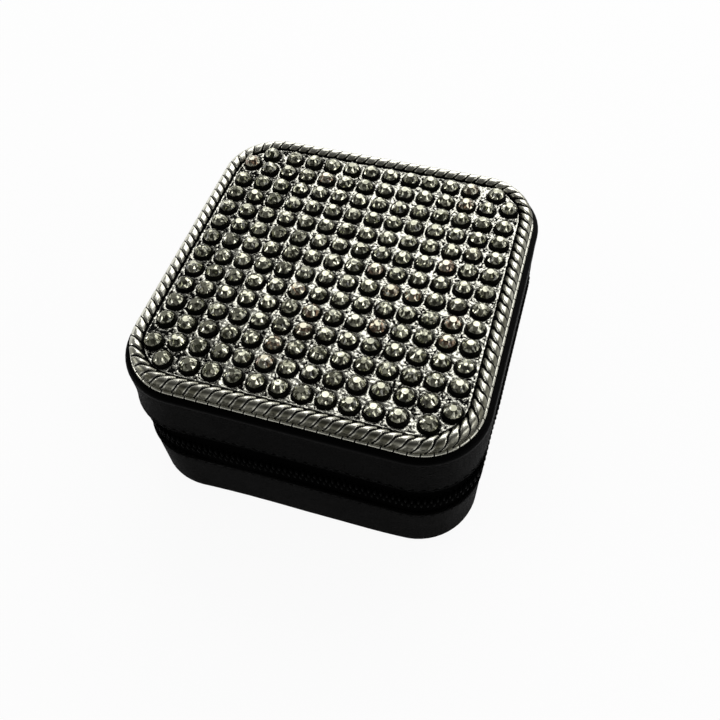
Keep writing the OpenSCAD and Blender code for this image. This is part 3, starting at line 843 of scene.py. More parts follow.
zipSizes = {"gap": 27 * mm, "coilGap": 30 * mm, "pitch": 1.68 * mm, "wire": 0.34 * mm, "coilOut": 1.3 * mm,
            "coilHigh": 2.2 * mm, "halfGap": 0.3 * mm, "cross": 0.5 * mm, "ridge": 0.1 * mm, "hidden": 2 * mm,
            "stopAt": 28.5 * mm, "stopHalf": 0.9 * mm}
tapeR, boardR, split = case["tapeR"], case["boardR"], case["split"]
toothTree = rowTree("spiralHalf", {"Deep": 1.0, "High": 1.0, "Wire": 1.0}, toothUnit, coilNylon)
for body, way in (("base", -1), ("lid", 1)):
    near = split + way * zipSizes["halfGap"]
    far = (case["baseTop"] if way < 0 else case["lidEdge"]) + way * zipSizes["hidden"]
    edge, ridgeR = near + way * 0.25 * mm, boardR + zipSizes["ridge"]
    profile = [(tapeR, far), (boardR, far), (boardR, near + way * 2.9 * mm), (ridgeR, near + way * 2.7 * mm),
               (ridgeR, near + way * 2.45 * mm), (boardR, near + way * 2.3 * mm), (boardR, edge),
               (boardR - 0.2 * mm, near), (tapeR + 0.2 * mm, near), (tapeR, edge)]
    tape = sweepRound(f"{body}ZipTape", profile, zipSizes["gap"],
                      wobble=lambda along, r, z: settled(along, z))
    place(tape, body, "zip_tape", zipWeave, f"{body}_zip_tape")
    inner = split - way * zipSizes["cross"] / 2
    outer = near + way * zipSizes["coilHigh"]
    sizes = {"Pitch": zipSizes["pitch"], "Deep": zipSizes["coilOut"] / 2 - zipSizes["wire"],
             "High": abs(outer - inner) / 2 - zipSizes["wire"], "Wire": zipSizes["wire"]}
    track = trackObject(f"{body}ZipSpiral", boardR + zipSizes["coilOut"] / 2, (outer + inner) / 2,
                        zipSizes["coilGap"], zipSizes["pitch"] / 4 * way)
    place(grow(f"{body}ZipSpiral", toothTree, sizes, track), body, "zip_coil", None, f"{body}_zip_coil")
    low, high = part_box(f"{body}_zip_stops")
    wide = zipSizes["stopHalf"]
    stops = [roundedBox("stop", (x - wide, low.y, low.z), (x + wide, high.y, high.z), wide / 2, 0.5 * mm)
             for x in (-zipSizes["stopAt"], zipSizes["stopAt"])]
    place(merged(f"{body}ZipStops", stops), body, "black_metal", blackEnamel, f"{body}_zip_stops")
print("stage: zip")


# rope border and the beaded foot round the plate

rope = {"r": 14.5 * mm, "z": 52.7 * mm, "thick": 1.85 * mm, "count": 109, "slantIn": 0.95, "slantOut": 0.55,
        "groove": 0.42, "stations": 2616, "around": 28, "openIn": 0.58, "openOut": 0.74, "patina": 1.0}
footBead = {"r": 16.36 * mm, "z": 50.5 * mm, "thick": 0.5 * mm, "count": 109, "slantIn": 0.2, "slantOut": 0.2,
            "groove": 0.3, "stations": 1962, "around": 10, "openIn": 0.84, "openOut": 0.8, "patina": 0.45}


def makeTwistTree():
    # a tube round the plate whose surface rises in slanting strands, with the grooves' depth and the painted
    # shade kept as a darkening attribute
    tree, ins, out = geometryTree("twistedBorder", twistSizes(rope))
    side = times(ins["Half"], 2.0)
    quad = through(tree, "GeometryNodeCurvePrimitiveQuadrilateral", None, Width=side, Height=side)
    rounded = through(tree, "GeometryNodeFilletCurve", quad, mode="POLY", Radius=ins["Corner"], Count=24)
    line = through(tree, "GeometryNodeResampleCurve", rounded, Count=ins["Stations"])
    spline = node(tree, "GeometryNodeSplineParameter")
    spot = through(tree, "GeometryNodeInputPosition", None)
    line = store(line, "factor", spline.outputs["Factor"])
    line = store(line, "middle", spot, kind="FLOAT_VECTOR")
    ring = through(tree, "GeometryNodeCurvePrimitiveCircle", None, Resolution=ins["Around"],
                   Radius=ins["Thick"])
    tube = through(tree, "GeometryNodeCurveToMesh", line, Profile_Curve=ring)

    middle = named(tree, "middle", "FLOAT_VECTOR")
    x, y, _ = apart(middle)
    core = ins["Core"]
    heldX, heldY = (smaller(larger(v, times(core, -1.0)), core) for v in (x, y))
    outward = vectorNode("NORMALIZE", vectorNode("SUBTRACT", middle, xyz(heldX, heldY)))
    arm = vectorNode("SUBTRACT", spot, middle)
    sideways = divided(vectorNode("DOT_PRODUCT", arm, outward), ins["Thick"])
    lift = divided(apart(arm)[2], ins["Thick"])
    angle = mathNode("ARCTAN2", sideways, lift)
    # which way the rope faces; the black and the patina are set per side as painted light: a painted dark
    # reflection on the inner faces at the back, a painted bright reflection on the outer faces at the back,
    # and painted shade on the right, where fewer edges are worn bright
    atRight = ramp(vectorNode("DOT_PRODUCT", outward, (1.0, 0.0, 0.0)), 0.3, 0.9)
    atBack = ramp(vectorNode("DOT_PRODUCT", outward, (-0.6, 0.8, 0.0)), -0.1, 0.5)
    atLeft = ramp(vectorNode("DOT_PRODUCT", outward, (-1.0, 0.0, 0.0)), 0.75, 0.97)
    # turns of the groove round the tube per strand, for its slant
    length = timesPlus(ins["Corner"], 2 * math.pi, times(ins["Core"], 8.0))
    strand = divided(length, ins["Count"])
    slantIn = times(ins["Slant In"], timesPlus(atBack, -0.4, 1.0))
    lean = times(smaller(angle, 0.0), slantIn)
    lean = timesPlus(larger(angle, 0.0), ins["Slant Out"], lean)
    steps = times(named(tree, "factor"), ins["Count"])
    phase = timesPlus(lean, divided(ins["Thick"], strand), steps)
    saw = minus(mathNode("FRACT", phase), 0.5)
    across = mathNode("ABSOLUTE", times(saw, 2.0))
    openIn = timesPlus(larger(atRight, times(atBack, 2.4)), 0.08, ins["Open In"])
    start = ramp(sideways, -0.2, 0.6, openIn, timesPlus(atBack, 0.08, ins["Open Out"]))
    groove = ramp(across, minus(start, 0.06), plus(start, 0.17), 0.0, 0.82)
    groove = timesPlus(times(across, across), 0.18, groove)
    depth = ramp(sideways, -0.6, 0.6, ins["Groove"], times(ins["Groove"], 0.22))
    sink = times(groove, depth)
    # below its middle the section goes straight down to the flange, as a casting does
    below = mathNode("LESS_THAN", lift, 0.0)
    full = larger(smaller(times(sideways, 1.6), 1.0), -1.0)
    widen = times(minus(full, sideways), below)
    wider = vectorNode("SCALE", outward, scale=times(widen, ins["Thick"]))
    arm = vectorNode("ADD", arm, wider)
    moved = vectorNode("ADD", middle, vectorNode("SCALE", arm, scale=minus(1.0, sink)))
    lifted = vectorNode("ADD", moved, xyz(0.0, 0.0, ins["Z"]))
    low = larger(ramp(lift, -0.98, -0.8, 0.8, 0.0), ramp(sideways, -0.98, -0.78, 0.9, 0.0))
    blackening = larger(ramp(across, start, plus(start, 0.14)), low)
    # patina stays on the strands' faces at both sides; the crest and the grooves' edges are worn bright
    deeper = timesPlus(atLeft, 0.08, timesPlus(atBack, 0.32, sideways))
    sides = larger(ramp(sideways, 0.0, 0.5), ramp(deeper, -0.6, -0.15, 0.85, 0.0))
    worn = times(ramp(across, 0.62, 0.74), ramp(sideways, -0.1, 0.4))
    # painted shade: the right side keeps more patina, with fewer edges worn bright
    worn = times(worn, timesPlus(atRight, -0.85, 1.0))
    kept = times(sides, minus(1.0, worn))
    # painted reflection: on the outer faces at the back the patina is left off, so they show bright silver
    outsideBackGlow = larger(minus(1.0, atBack), mathNode("LESS_THAN", sideways, 0.0))
    # the black is painted on here: a painted dark reflection on the faces towards the stones at the back, and
    # painted shade low on the outer faces elsewhere
    inner = times(atBack, ramp(deeper, -0.56, -0.36, 0.52, 0.0))
    outer = times(ramp(sideways, 0.45, 1.0, 0.0, 0.47), times(minus(1.0, worn), minus(1.0, atBack)))
    paintedDark = times(larger(inner, outer), ins["Patina"])
    tube = store(tube, "blackening", larger(blackening, paintedDark))
    tube = store(tube, "patina", times(times(kept, outsideBackGlow), ins["Patina"]))
    tube = through(tree, "GeometryNodeSetPosition", tube, Position=lifted)
    for name in ("factor", "middle"):
        tube = through(tree, "GeometryNodeRemoveAttribute", tube, Name=name)
    closeTree(tree, out, tube, ropeSilver)
    return tree


def twistSizes(look):
    return {"Half": case["centre"] + look["r"], "Corner": look["r"], "Z": look["z"], "Thick": look["thick"],
            "Count": float(look["count"]), "Slant In": look["slantIn"], "Slant Out": look["slantOut"],
            "Groove": look["groove"], "Stations": look["stations"], "Around": look["around"],
            "Open In": look["openIn"], "Open Out": look["openOut"], "Core": case["centre"],
            "Patina": look["patina"]}


twistTree = makeTwistTree()
ropeBorder = grow("ropeBorder", twistTree, twistSizes(rope))
place(ropeBorder, "lid", "silver", None, "rope_border")
foot = grow("beadedFoot", twistTree, twistSizes(footBead))
place(foot, "lid", "silver", None)
print("stage: rope border")


# the plate's ground: grains, thin ridges and dark hollows between the seats

stonePitch = 6.2 * mm


def cellOf(x, y):
    return math.floor(x / stonePitch), math.floor(y / stonePitch)


def stonePlaces():
    # the stones' centres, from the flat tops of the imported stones
    spots = {}
    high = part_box("rhinestones")[1].z
    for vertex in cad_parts["rhinestones"].data.vertices:
        x, y, z = vertex.co
        if z > high - 0.01 * mm:
            spots.setdefault(cellOf(x, y), set()).add((round(x, 6), round(y, 6)))
    return [Vector((sum(x for x, y in s) / len(s), sum(y for x, y in s) / len(s), 0)) for s in spots.values()]


stones = stonePlaces()
print("stones", len(stones))
ground = {"r": 12.55 * mm, "z": 53.0 * mm, "under": 50.9 * mm, "step": 0.31 * mm, "seatR": 2.65 * mm,
          "grain": 0.34 * mm, "grainSize": 0.7 * mm, "slow": 0.12 * mm, "moat": 0.3 * mm,
          "ridge": 0.16 * mm, "ridgeWide": 0.42 * mm, "rimAt": 0.38 * mm, "rimWide": 0.13 * mm,
          "gapAt": 0.05 * mm, "gapWide": 0.14 * mm, "brightX": 9 * mm, "brightWide": 40 * mm}


def groundMesh():
    # rings from the rounded edge in to the straight corners, then a square grid
    c, step = case["centre"], ground["step"]
    side = round(2 * c / step)
    rings = [step * q for q in range(int((ground["r"] - 0.9 * mm) / step) + 1)]
    rings += [ground["r"] + (rings[-1] - ground["r"]) * (1 - k / 8) for k in range(1, 9)]
    verts, faces, index = [], [], {}

    def corner(x, y):
        key = (round(x / mm, 4), round(y / mm, 4))
        if key not in index:
            index[key] = len(verts)
            verts.append((x, y))
        return index[key]

    line = [-c + 2 * c * k / side for k in range(side + 1)]
    grid = [[corner(x, y) for y in line] for x in line]
    for i in range(side):
        for j in range(side):
            faces.append((grid[i][j], grid[i + 1][j], grid[i + 1][j + 1], grid[i][j + 1]))
    turns = 40

    def station(s):
        # the base point and direction of station s, anticlockwise from the right side's low end
        leg, k = divmod(s, side + turns)
        base = [(c, -c), (c, c), (-c, c), (-c, -c)]
        if k <= side:
            a, b = base[leg], base[(leg + 1) % 4]
            t = k / side
            return (a[0] + (b[0] - a[0]) * t, a[1] + (b[1] - a[1]) * t), leg * 90
        return base[(leg + 1) % 4], leg * 90 + 90 * (k - side) / turns

    total = 4 * (side + turns)
    spots = [station(s) for s in range(total)]
    rows = []
    for out in rings:
        rows.append([corner(b[0] + out * cosOf(a), b[1] + out * sinOf(a)) for b, a in spots])
    for q in range(len(rings) - 1):
        for s in range(total):
            t = (s + 1) % total
            face = [rows[q][s], rows[q + 1][s], rows[q + 1][t], rows[q][t]]
            face = [v for i, v in enumerate(face) if v != face[i - 1]]
            if len(set(face)) > 2:
                faces.append(tuple(face))
    return verts, faces, rows[-1]


def groundHeight(x, y, near):
    # height above the ground's level, and how dark the place is
    gaps = sorted(math.hypot(x - s.x, y - s.y) for s in near)
    first, second = gaps[0], gaps[1]
    c = case["centre"]
    edge = ground["r"] - math.hypot(max(0, abs(x) - c), max(0, abs(y) - c))
    free = share((first - ground["seatR"] - 0.04 * mm) / (0.3 * mm))
    p = Vector((x, y, 0)) / ground["grainSize"]
    cells = noise.voronoi(p)[0]
    grain = 1 - min(1.0, cells[0] * 1.5)
    slow = noise.noise(p * 0.45)
    ridge = math.exp(-((second - first) / ground["ridgeWide"]) ** 2)
    rim = math.exp(-((edge - ground["rimAt"] + 0.08 * mm * slow) / ground["rimWide"]) ** 2)
    gap = math.exp(-((edge - ground["gapAt"]) / ground["gapWide"]) ** 2)
    height = ground["grain"] * grain * (0.4 + 0.6 * free)
    height += ground["ridge"] * max(ridge * (1 - free * 0.7), rim * 0.4)
    height += ground["slow"] * slow * free - ground["moat"] * (1 - free) * (1 - ridge)
    # painted reflection: the ground is left brightest right of the middle and darkens away from there
    wide = ground["brightWide"]
    paintedDim = 0.03 + 0.25 * ((x - ground["brightX"]) / wide) ** 2 + 0.14 * (y / wide) ** 2
    paintedDim *= min(1.3, max(0, (first - 3.1 * mm) / (0.8 * mm)))
    dark = (1 - free) * (1 - ridge * 0.9) + (0.45 - grain) * 0.8 + max(0.0, -slow) * 0.3 + paintedDim
    dark = dark * (1 - rim) + gap
    return height, share(dark)


def makeGround():
    flat, faces, edge = groundMesh()
    table = {}
    for s in stones:
        table.setdefault(cellOf(s.x, s.y), []).append(s)
    verts, blackening = [], []
    for x, y in flat:
        i, j = cellOf(x, y)
        near = [s for a in (-1, 0, 1) for b in (-1, 0, 1) for s in table.get((i + a, j + b), ())]
        if len(near) < 2:
            near = stones
        height, dark = groundHeight(x, y, near)
        verts.append((x, y, ground["z"] + height))
        blackening.append(dark)
    # the edge goes down to the flange and closes underneath
    last = list(edge)
    for z in (ground["z"] - 0.5 * mm, ground["under"]):
        below = []
        for v in edge:
            below.append(len(verts))
            verts.append((flat[v][0], flat[v][1], z))
            blackening.append(1.0)
        n = len(edge)
        faces += [(last[k], below[k], below[(k + 1) % n], last[(k + 1) % n]) for k in range(n)]
        last = below
    faces.append(tuple(reversed(last)))
    obj = meshObject("castGround", verts, faces)
    obj.data.attributes.new("blackening", "FLOAT", "POINT").data.foreach_set("value", blackening)
    return closeUp(obj, 80)


place(makeGround(), "lid", "silver", groundSilver, "jewel_plate")
flangePoints = ((11, 50.0), (16.3, 50.0), (16.5, 50.2), (16.4, 50.75), (11, 50.75))
flange = sweepRound("plateFlange", [(r * mm, z * mm) for r, z in flangePoints])
flange.data.attributes.new("blackening", "FLOAT", "POINT")
flange.data.attributes["blackening"].data.foreach_set("value", [0.9] * len(flange.data.vertices))
place(flange, "lid", "silver", ropeSilver)
print("stage: plate")


# seats and stones

seat = {"r": 2.65 * mm, "z": 53.0 * mm, "top": 54.0 * mm, "tilt": 0.02}
stone = {"r": 2.34 * mm, "table": 0.96 * mm, "high": 1.72 * mm, "tilt": 0.1}


def seatUnit():
    low, r, top, inner = seat["z"] - 0.4 * mm, seat["r"], seat["top"], stone["r"]
    profile = [(0, low), (r - 0.05 * mm, low), (r, top - 0.2 * mm), (r - 0.14 * mm, top + 0.04 * mm),
               (inner + 0.02 * mm, top - 0.04 * mm), (inner - 0.3 * mm, top - 0.25 * mm),
               (0, top - 0.25 * mm)]
    return lathe("seatUnit", profile, (0, 0, 0), 18)


def stoneUnit():
    # a flat-backed stone with a table, stars, kites and girdle facets
    def around(count, radius, z, start=0.0):
        return [(radius * math.cos(2 * math.pi * (k + start) / count),
                 radius * math.sin(2 * math.pi * (k + start) / count), z) for k in range(count)]

    low, high, r = seat["top"] - 0.12 * mm, stone["high"], stone["r"]
    verts = around(8, stone["table"], low + high + 0.1 * mm) + around(8, r * 0.76, low + high * 0.78, 0.5)
    verts += around(16, r, low + high * 0.3) + around(16, r * 0.97, low)
    faces = [tuple(range(8)), tuple(range(47, 31, -1))]
    for k in range(8):
        m = (k + 1) % 8
        star, before = 8 + k, 8 + (k - 1) % 8
        a, b, c = 16 + 2 * k, 16 + 2 * k + 1, 16 + (2 * k + 2) % 16
        faces += [(k, star, m), (k, before, a), (k, a, star), (star, a, b), (star, b, c)]
    for k in range(16):
        m = (k + 1) % 16
        faces.append((16 + k, 32 + k, 32 + m, 16 + m))
    obj = closeUp(meshObject("stoneUnit", verts, faces, smooth=False), 1)
    points = obj.data.vertices
    top = max(v.co.z for v in points) - 0.01 * mm
    marks = [float(min(points[v].co.z for v in p.vertices) > top) for p in obj.data.polygons]
    obj.data.attributes.new("table", "FLOAT", "FACE").data.foreach_set("value", marks)
    return obj


def makeScatterTree(name, material, smooth):
    # one unit on each point, each turned and tipped its own way
    tree, ins, out = geometryTree(name, {"Unit": None, "Tilt": 1.0, "Height": 1.0, "Seed": 1})
    unit = node(tree, "GeometryNodeObjectInfo")
    feed(unit.inputs["Object"], ins["Unit"])
    tip = node(tree, "FunctionNodeRandomValue", data_type="FLOAT_VECTOR")
    back = times(ins["Tilt"], -1.0)
    feed(tip.inputs[0], xyz(back, back, 0.0))
    feed(tip.inputs[1], xyz(ins["Tilt"], ins["Tilt"], 6.283))
    feed(tip.inputs["Seed"], ins["Seed"])
    tint = node(tree, "FunctionNodeRandomValue", data_type="FLOAT")
    feed(tint.inputs["Seed"], plus(ins["Seed"], 1.0))
    raised = xyz(0.0, 0.0, ins["Height"])
    points = through(tree, "GeometryNodeSetPosition", ins["Geometry"], Offset=raised)
    rows = through(tree, "GeometryNodeInstanceOnPoints", points, Instance=unit.outputs["Geometry"],
                   Rotation=tip.outputs[0])
    tinted = store(rows, "tint", tint.outputs[1], domain="INSTANCE")
    closeTree(tree, out, tinted, material, smooth)
    return tree


for name, unit, tilt, seed, material, smooth, slot, replaced in (
        ("stoneSeats", seatUnit(), seat["tilt"], 3, cupBlack, True, "dark_silver", "stone_settings"),
        ("rhinestones", stoneUnit(), stone["tilt"], 11, smokyStone, False, "rhinestone", "rhinestones")):
    # the unit's own heights are moved to its foot, so that it tips about it
    foot = seat["top"]
    unit.data.transform(Matrix.Translation((0, 0, -foot)))
    sizes = {"Unit": unit, "Tilt": tilt, "Height": foot, "Seed": seed}
    made = grow(name + "Set", makeScatterTree(name, material, smooth), sizes,
                lineObject(name + "Set", stones))
    bpy.data.objects.remove(unit)
    place(made, "lid", slot, None, replaced)
print("stage: seats and stones")


# linings: a bowl of velvet over board in the base and another, upside down, in the lid

def bowlProfile(floor, under, rim, lip):
    # from the middle of the floor up the inside, over the lip and down the outside to the underside
    way = 1 if rim > floor else -1
    inner, shell, out = case["innerR"], case["shellR"], case["tapeR"] - 0.1 * mm
    return [(inner - 4 * mm, floor), (inner - 0.9 * mm, floor), (inner - 0.25 * mm, floor + way * 0.25 * mm),
            (inner, floor + way * 0.9 * mm), (inner, (floor + lip) / 2), (inner, lip - way * 0.6 * mm),
            (inner + 0.15 * mm, lip - way * 0.2 * mm), (inner + 0.5 * mm, lip), (out - 0.5 * mm, lip),
            (out - 0.12 * mm, lip - way * 0.15 * mm), (out, (lip + rim) / 2), (out - 0.1 * mm, rim),
            (shell, rim), (shell, under)]


for body, low, high in (("base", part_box("base_lining")[0].z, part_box("base_lining")[1].z),
                        ("lid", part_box("lid_lining")[1].z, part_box("lid_lining")[0].z)):
    way = 1 if high > low else -1
    bowl = sweepRound(f"{body}Lining", bowlProfile(low + way * mm, low, high - way * mm, high), capped=True)
    place(bowl, body, "velvet", velvet, f"{body}_lining")


def softBoard(name, source, radius, puff=0.0):
    # velvet over board: round edges and slightly crowned faces
    return roundedBox(name, *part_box(source), radius, 1.6 * mm, puff)


place(softBoard("centreWall", "centre_wall", 0.9 * mm), "base", "velvet", velvet, "centre_wall")
for side in ("front", "back"):
    board = softBoard(f"{side}Divider", f"divider_{side}", 0.95 * mm, 0.12 * mm)
    place(board, f"{side}_divider", "velvet", velvet, f"divider_{side}")


# ring rolls: foam in velvet, swollen by a cloth simulation and capped

roll = {"low": 0.7 * mm, "spans": 26, "around": 22, "leftEnd": 2.4 * mm, "rightEnd": 1.6 * mm,
        "arch": 6.4 * mm, "voxel": 0.95 * mm, "foot": 0.9 * mm, "cap": 0.55 * mm, "frames": 18, "scale": 10.0,
        "cloth": {"quality": 4, "mass": 0.2, "tension_stiffness": 12, "compression_stiffness": 12,
                  "shear_stiffness": 6, "bending_stiffness": 0.8, "uniform_pressure_force": 4.0}}


def rollMesh(index):
    low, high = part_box(f"ring_roll_{index}")
    c, inner = case["centre"], case["innerR"] - 0.3 * mm
    shrink = roll["low"]
    verts = []
    x0, x1 = low.x + shrink * 0.6, high.x - shrink * 0.6
    spans, ring = roll["spans"], roll["around"]
    xs = [x0 + (x1 - x0) * (0.5 - 0.5 * math.cos(math.pi * k / spans)) for k in range(spans + 1)]
    for x in xs:
        y0, y1 = low.y + shrink, high.y - shrink
        if x < -c:
            reach = c + math.sqrt(max(0.0, inner ** 2 - (x + c) ** 2)) - shrink
            y0, y1 = max(y0, -reach), min(y1, reach)
        # the ends round over a little
        end = min((x - xs[0]) / roll["leftEnd"], (xs[-1] - x) / roll["rightEnd"], 1.0)
        ease = math.sqrt(max(0.0, 1 - (1 - end) ** 2))
        mid, half = (y0 + y1) / 2, max(0.4 * mm, (y1 - y0) / 2)
        tall = (high.z - low.z - shrink) * (0.9 + 0.1 * ease)
        half *= 0.93 + 0.07 * ease
        arch = min(half, roll["arch"])
        for k in range(ring):
            t = k / (ring - 1)
            if k in (0, ring - 1):
                y, z = (half if k == 0 else -half), 0.0
            else:
                turn = math.pi * (k - 1) / (ring - 3)
                y, z = half * math.cos(turn), tall - arch + arch * math.sin(turn)
            verts.append((x, mid + y, low.z + 0.05 * mm + z))
    faces = quads(len(xs), ring, wrapRing=True)
    last = spans * ring
    faces += [tuple(range(ring)), tuple(last + k for k in range(ring))]
    return closeUp(meshObject(f"ringRoll{index}", verts, faces), 60)


def swell(objects, look):
    # remeshes the pieces, blows them up together as cloth and caps how far each point went
    for obj in objects:
        obj.data.transform(Matrix.Scale(look["scale"], 4))
        remesh = obj.modifiers.new("remesh", "REMESH")
        remesh.mode = "VOXEL"
        remesh.voxel_size = look["voxel"] * look["scale"]
        applied(obj)
        before = [v.co.copy() for v in obj.data.vertices]
        foot = min(v.z for v in before) + look["foot"] * look["scale"]
        pinned = obj.vertex_groups.new(name="pinned")
        pinned.add([i for i, v in enumerate(before) if v.z < foot], 1.0, "REPLACE")
        cloth = obj.modifiers.new("cloth", "CLOTH")
        for key, value in look["cloth"].items():
            setattr(cloth.settings, key, value)
        cloth.settings.use_pressure = True
        cloth.settings.effector_weights.gravity = 0.0
        cloth.settings.vertex_group_mass = "pinned"
        cloth.collision_settings.use_collision = False
        cloth.point_cache.frame_start = 1
        cloth.point_cache.frame_end = look["frames"]
        obj["before"] = [c for v in before for c in v]
    for f in range(1, look["frames"] + 1):
        scene.frame_set(f)
    for obj in objects:
        if obj.modifiers:
            applied(obj)
            obj.vertex_groups.clear()
        flat = list(obj["before"])
        del obj["before"]
        limit = look["cap"] * look["scale"]
        for i, v in enumerate(obj.data.vertices):
            start = Vector(flat[3 * i:3 * i + 3])
            move = v.co - start
            if move.length > limit:
                v.co = start + move.normalized() * limit
        obj.data.transform(Matrix.Scale(1 / look["scale"], 4))
    scene.frame_set(1)


rolls = [rollMesh(i) for i in range(1, 7)]
swell(rolls, roll)
for i, obj in enumerate(rolls, 1):
    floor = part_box(f"ring_roll_{i}")[0].z
    for v in obj.data.vertices:
        # creases where the velvet is pulled in at the ends, and a flat foot
        n = noise.noise(Vector((v.co.x * 130, v.co.y * 60 + i * 7, v.co.z * 60)))
        ends = max(0.0, 1 - min(v.co.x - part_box(f"ring_roll_{i}")[0].x, 0.001 - v.co.x) / (6 * mm))
        v.co.y += 0.2 * mm * n * ends
        v.co.z = max(floor, v.co.z + 0.12 * mm * n)
    fine = obj.modifiers.new("fine", "SUBSURF")
    fine.levels = fine.render_levels = 1
    applied(obj)
    obj.data.polygons.foreach_set("use_smooth", [True] * len(obj.data.polygons))
    place(obj, "base", "velvet", velvet, f"ring_roll_{i}")
print("stage: linings and rolls")


# hinge: one leather strip outside and one velvet strip inside, each reaching from the base to the lid

hinge = {"cuts": 36, "insideCuts": 24, "columns": 24, "round": 0.3 * mm, "groove": 0.35 * mm,
         "grooveHalf": 1.3 * mm, "bulge": 0.06 * mm}


def hingeStrip(name, x, y0, y1, z0, z1, cuts, groove=0.0):
    # upright strip with round edges and enough rows to bend, with a shallow groove along the hinge line
    rows = [z0 + (z1 - z0) * k / cuts for k in range(cuts + 1)]
    edgeR, columns = hinge["round"], hinge["columns"]
    flat = x - edgeR
    xs = [-x, -x + edgeR * 0.3, -flat] + [-flat + 2 * flat * k / columns for k in range(1, columns)]
    xs += [flat, x - edgeR * 0.3, x]
    verts, faces, uvs = [], [], []
    for side in (0, 1):
        for z in rows:
            for px in xs:
                edge = min(x - abs(px), z - z0, z1 - z)
                inset = edgeR * (1 - math.sqrt(max(0.0, 1 - (1 - min(1.0, edge / edgeR)) ** 2)))
                dip = groove * math.exp(-((z - case["split"]) / hinge["grooveHalf"]) ** 2)
                bulge = hinge["bulge"] * noise.noise(Vector((px * 90, z * 120, side * 3)))
                y = (y1 - inset - dip + bulge) if side else (y0 + inset * 0.4 + dip * 0.3)
                verts.append((px, y, z))
    n, m = len(xs), len(rows)
    for side in (0, 1):
        for i in range(m - 1):
            for k in range(n - 1):
                a = side * n * m + i * n + k
                quad = (a, a + 1, a + n + 1, a + n)
                faces.append(quad)
                uvs += [(verts[v][0], verts[v][2]) for v in quad]
    border = [k for k in range(n)] + [i * n + n - 1 for i in range(1, m)]
    border += [(m - 1) * n + k for k in range(n - 2, -1, -1)] + [i * n for i in range(m - 2, 0, -1)]
    for a, b in zip(border, border[1:] + border[:1]):
        quad = (a, b, b + n * m, a + n * m)
        faces.append(quad)
        uvs += [(verts[v][0], verts[v][2]) for v in quad]
    return closeUp(meshObject(name, verts, faces, uvs), 50)


low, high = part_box("spine_base")[0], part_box("spine_lid")[1]
spine = hingeStrip("leatherHinge", high.x, low.y, high.y, low.z - 0.1 * mm, high.z + 0.1 * mm, hinge["cuts"],
                   hinge["groove"])
spine.data.materials.append(leatherBlack)
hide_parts("spine_base", "spine_lid")
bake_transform(spine)
low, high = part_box("hinge_lining_base")[0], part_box("hinge_lining_lid")[1]
inside = hingeStrip("velvetHinge", high.x, low.y, high.y, low.z, high.z, hinge["insideCuts"])
inside.data.materials.append(velvet)
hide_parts("hinge_lining_base", "hinge_lining_lid")
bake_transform(inside)
print("stage: hinge")


# lid pocket: gathered cloth with an elastic mouth

pocket = {"thick": 0.5 * mm, "ripple": 0.55 * mm, "ripples": 15, "sides": 4.2 * mm, "back": 7 * mm,
          "fade": 22 * mm, "nx": 180, "ny": 60, "flatLength": 0.046}
low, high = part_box("pocket_panel")


def pocketDrop(x, y):
    # how far the cloth hangs below the ceiling
    deep = high.z - low.z - 0.4 * mm
    side = min(1.0, (high.x - abs(x)) / pocket["sides"])
    back = min(1.0, (high.y - y) / pocket["back"])
    swellX, swellY = (math.sin(math.pi / 2 * max(0.0, near)) ** 0.8 for near in (side, back))
    fade = math.exp(-(y - low.y) / pocket["fade"])
    turn = math.pi * pocket["ripples"] * (x - low.x) / (high.x - low.x)
    ripple = pocket["ripple"] * math.sin(turn + 0.8 * noise.noise(Vector((x * 60, y * 30, 0)))) * fade
    sag = 0.25 * mm * noise.noise(Vector((x * 70, y * 70, 2)))
    return max(0.0, (deep - 0.6 * mm + ripple + sag) * swellX * swellY)


verts = []
nx, ny = pocket["nx"], pocket["ny"]
for j in range(ny + 1):
    y = low.y + (high.y - low.y) * (j / ny)
    for i in range(nx + 1):
        x = low.x + 0.3 * mm + (high.x - low.x - 0.6 * mm) * (i / nx)
        verts.append((x, min(y, high.y - 0.3 * mm), high.z - 0.15 * mm - pocketDrop(x, y)))
sheet = meshObject("pocketCloth", verts, quads(ny + 1, nx + 1))
thicken = sheet.modifiers.new("thick", "SOLIDIFY")
thicken.thickness = pocket["thick"]
thicken.offset = 0.0
applied(sheet)
closeUp(sheet, 60)
place(sheet, "lid", "pocket_fabric", pocketSatin, "pocket_panel")

elasticTree, ins, out = geometryTree("elasticBand", {"Wide": 1.0, "High": 1.0, "Pitch": 1.0, "Rib": 1.0})
band = through(elasticTree, "GeometryNodeMeshToCurve", ins["Geometry"])
band = through(elasticTree, "GeometryNodeResampleCurve", band, mode="LENGTH", Length=ins["Pitch"])
even = mathNode("MODULO", through(elasticTree, "GeometryNodeInputIndex", None), 2.0)
size = timesPlus(even, ins["Rib"], 1.0)
band = through(elasticTree, "GeometryNodeSetCurveRadius", band, Radius=size)
section = through(elasticTree, "GeometryNodeCurvePrimitiveCircle", None, Resolution=12, Radius=0.5)
across = xyz(ins["Wide"], ins["High"], 1.0)
section = through(elasticTree, "GeometryNodeTransform", section, Scale=across)
band = through(elasticTree, "GeometryNodeCurveToMesh", band, Profile_Curve=section, Fill_Caps=True)
closeTree(elasticTree, out, band, elasticKnit)
elastic = {"Wide": 1.2 * mm, "High": 1.5 * mm, "Pitch": 0.42 * mm, "Rib": 0.12}
deepest = high.z - low.z - 1.25 * mm
mouth = [(low.x + 0.6 * mm + (high.x - low.x - 1.2 * mm) * k / 240) for k in range(241)]
mouth = [(x, low.y - 0.5 * mm, high.z - 0.6 * mm - min(pocketDrop(x, low.y), deepest)) for x in mouth]
band = grow("pocketElastic", elasticTree, elastic, lineObject("pocketElastic", mouth))
place(closeUp(band, 60), "lid", "elastic", None, "pocket_elastic")
print("stage: pocket")


# snap tabs: a leather bar, three straps sewn round, with caps, sockets and studs

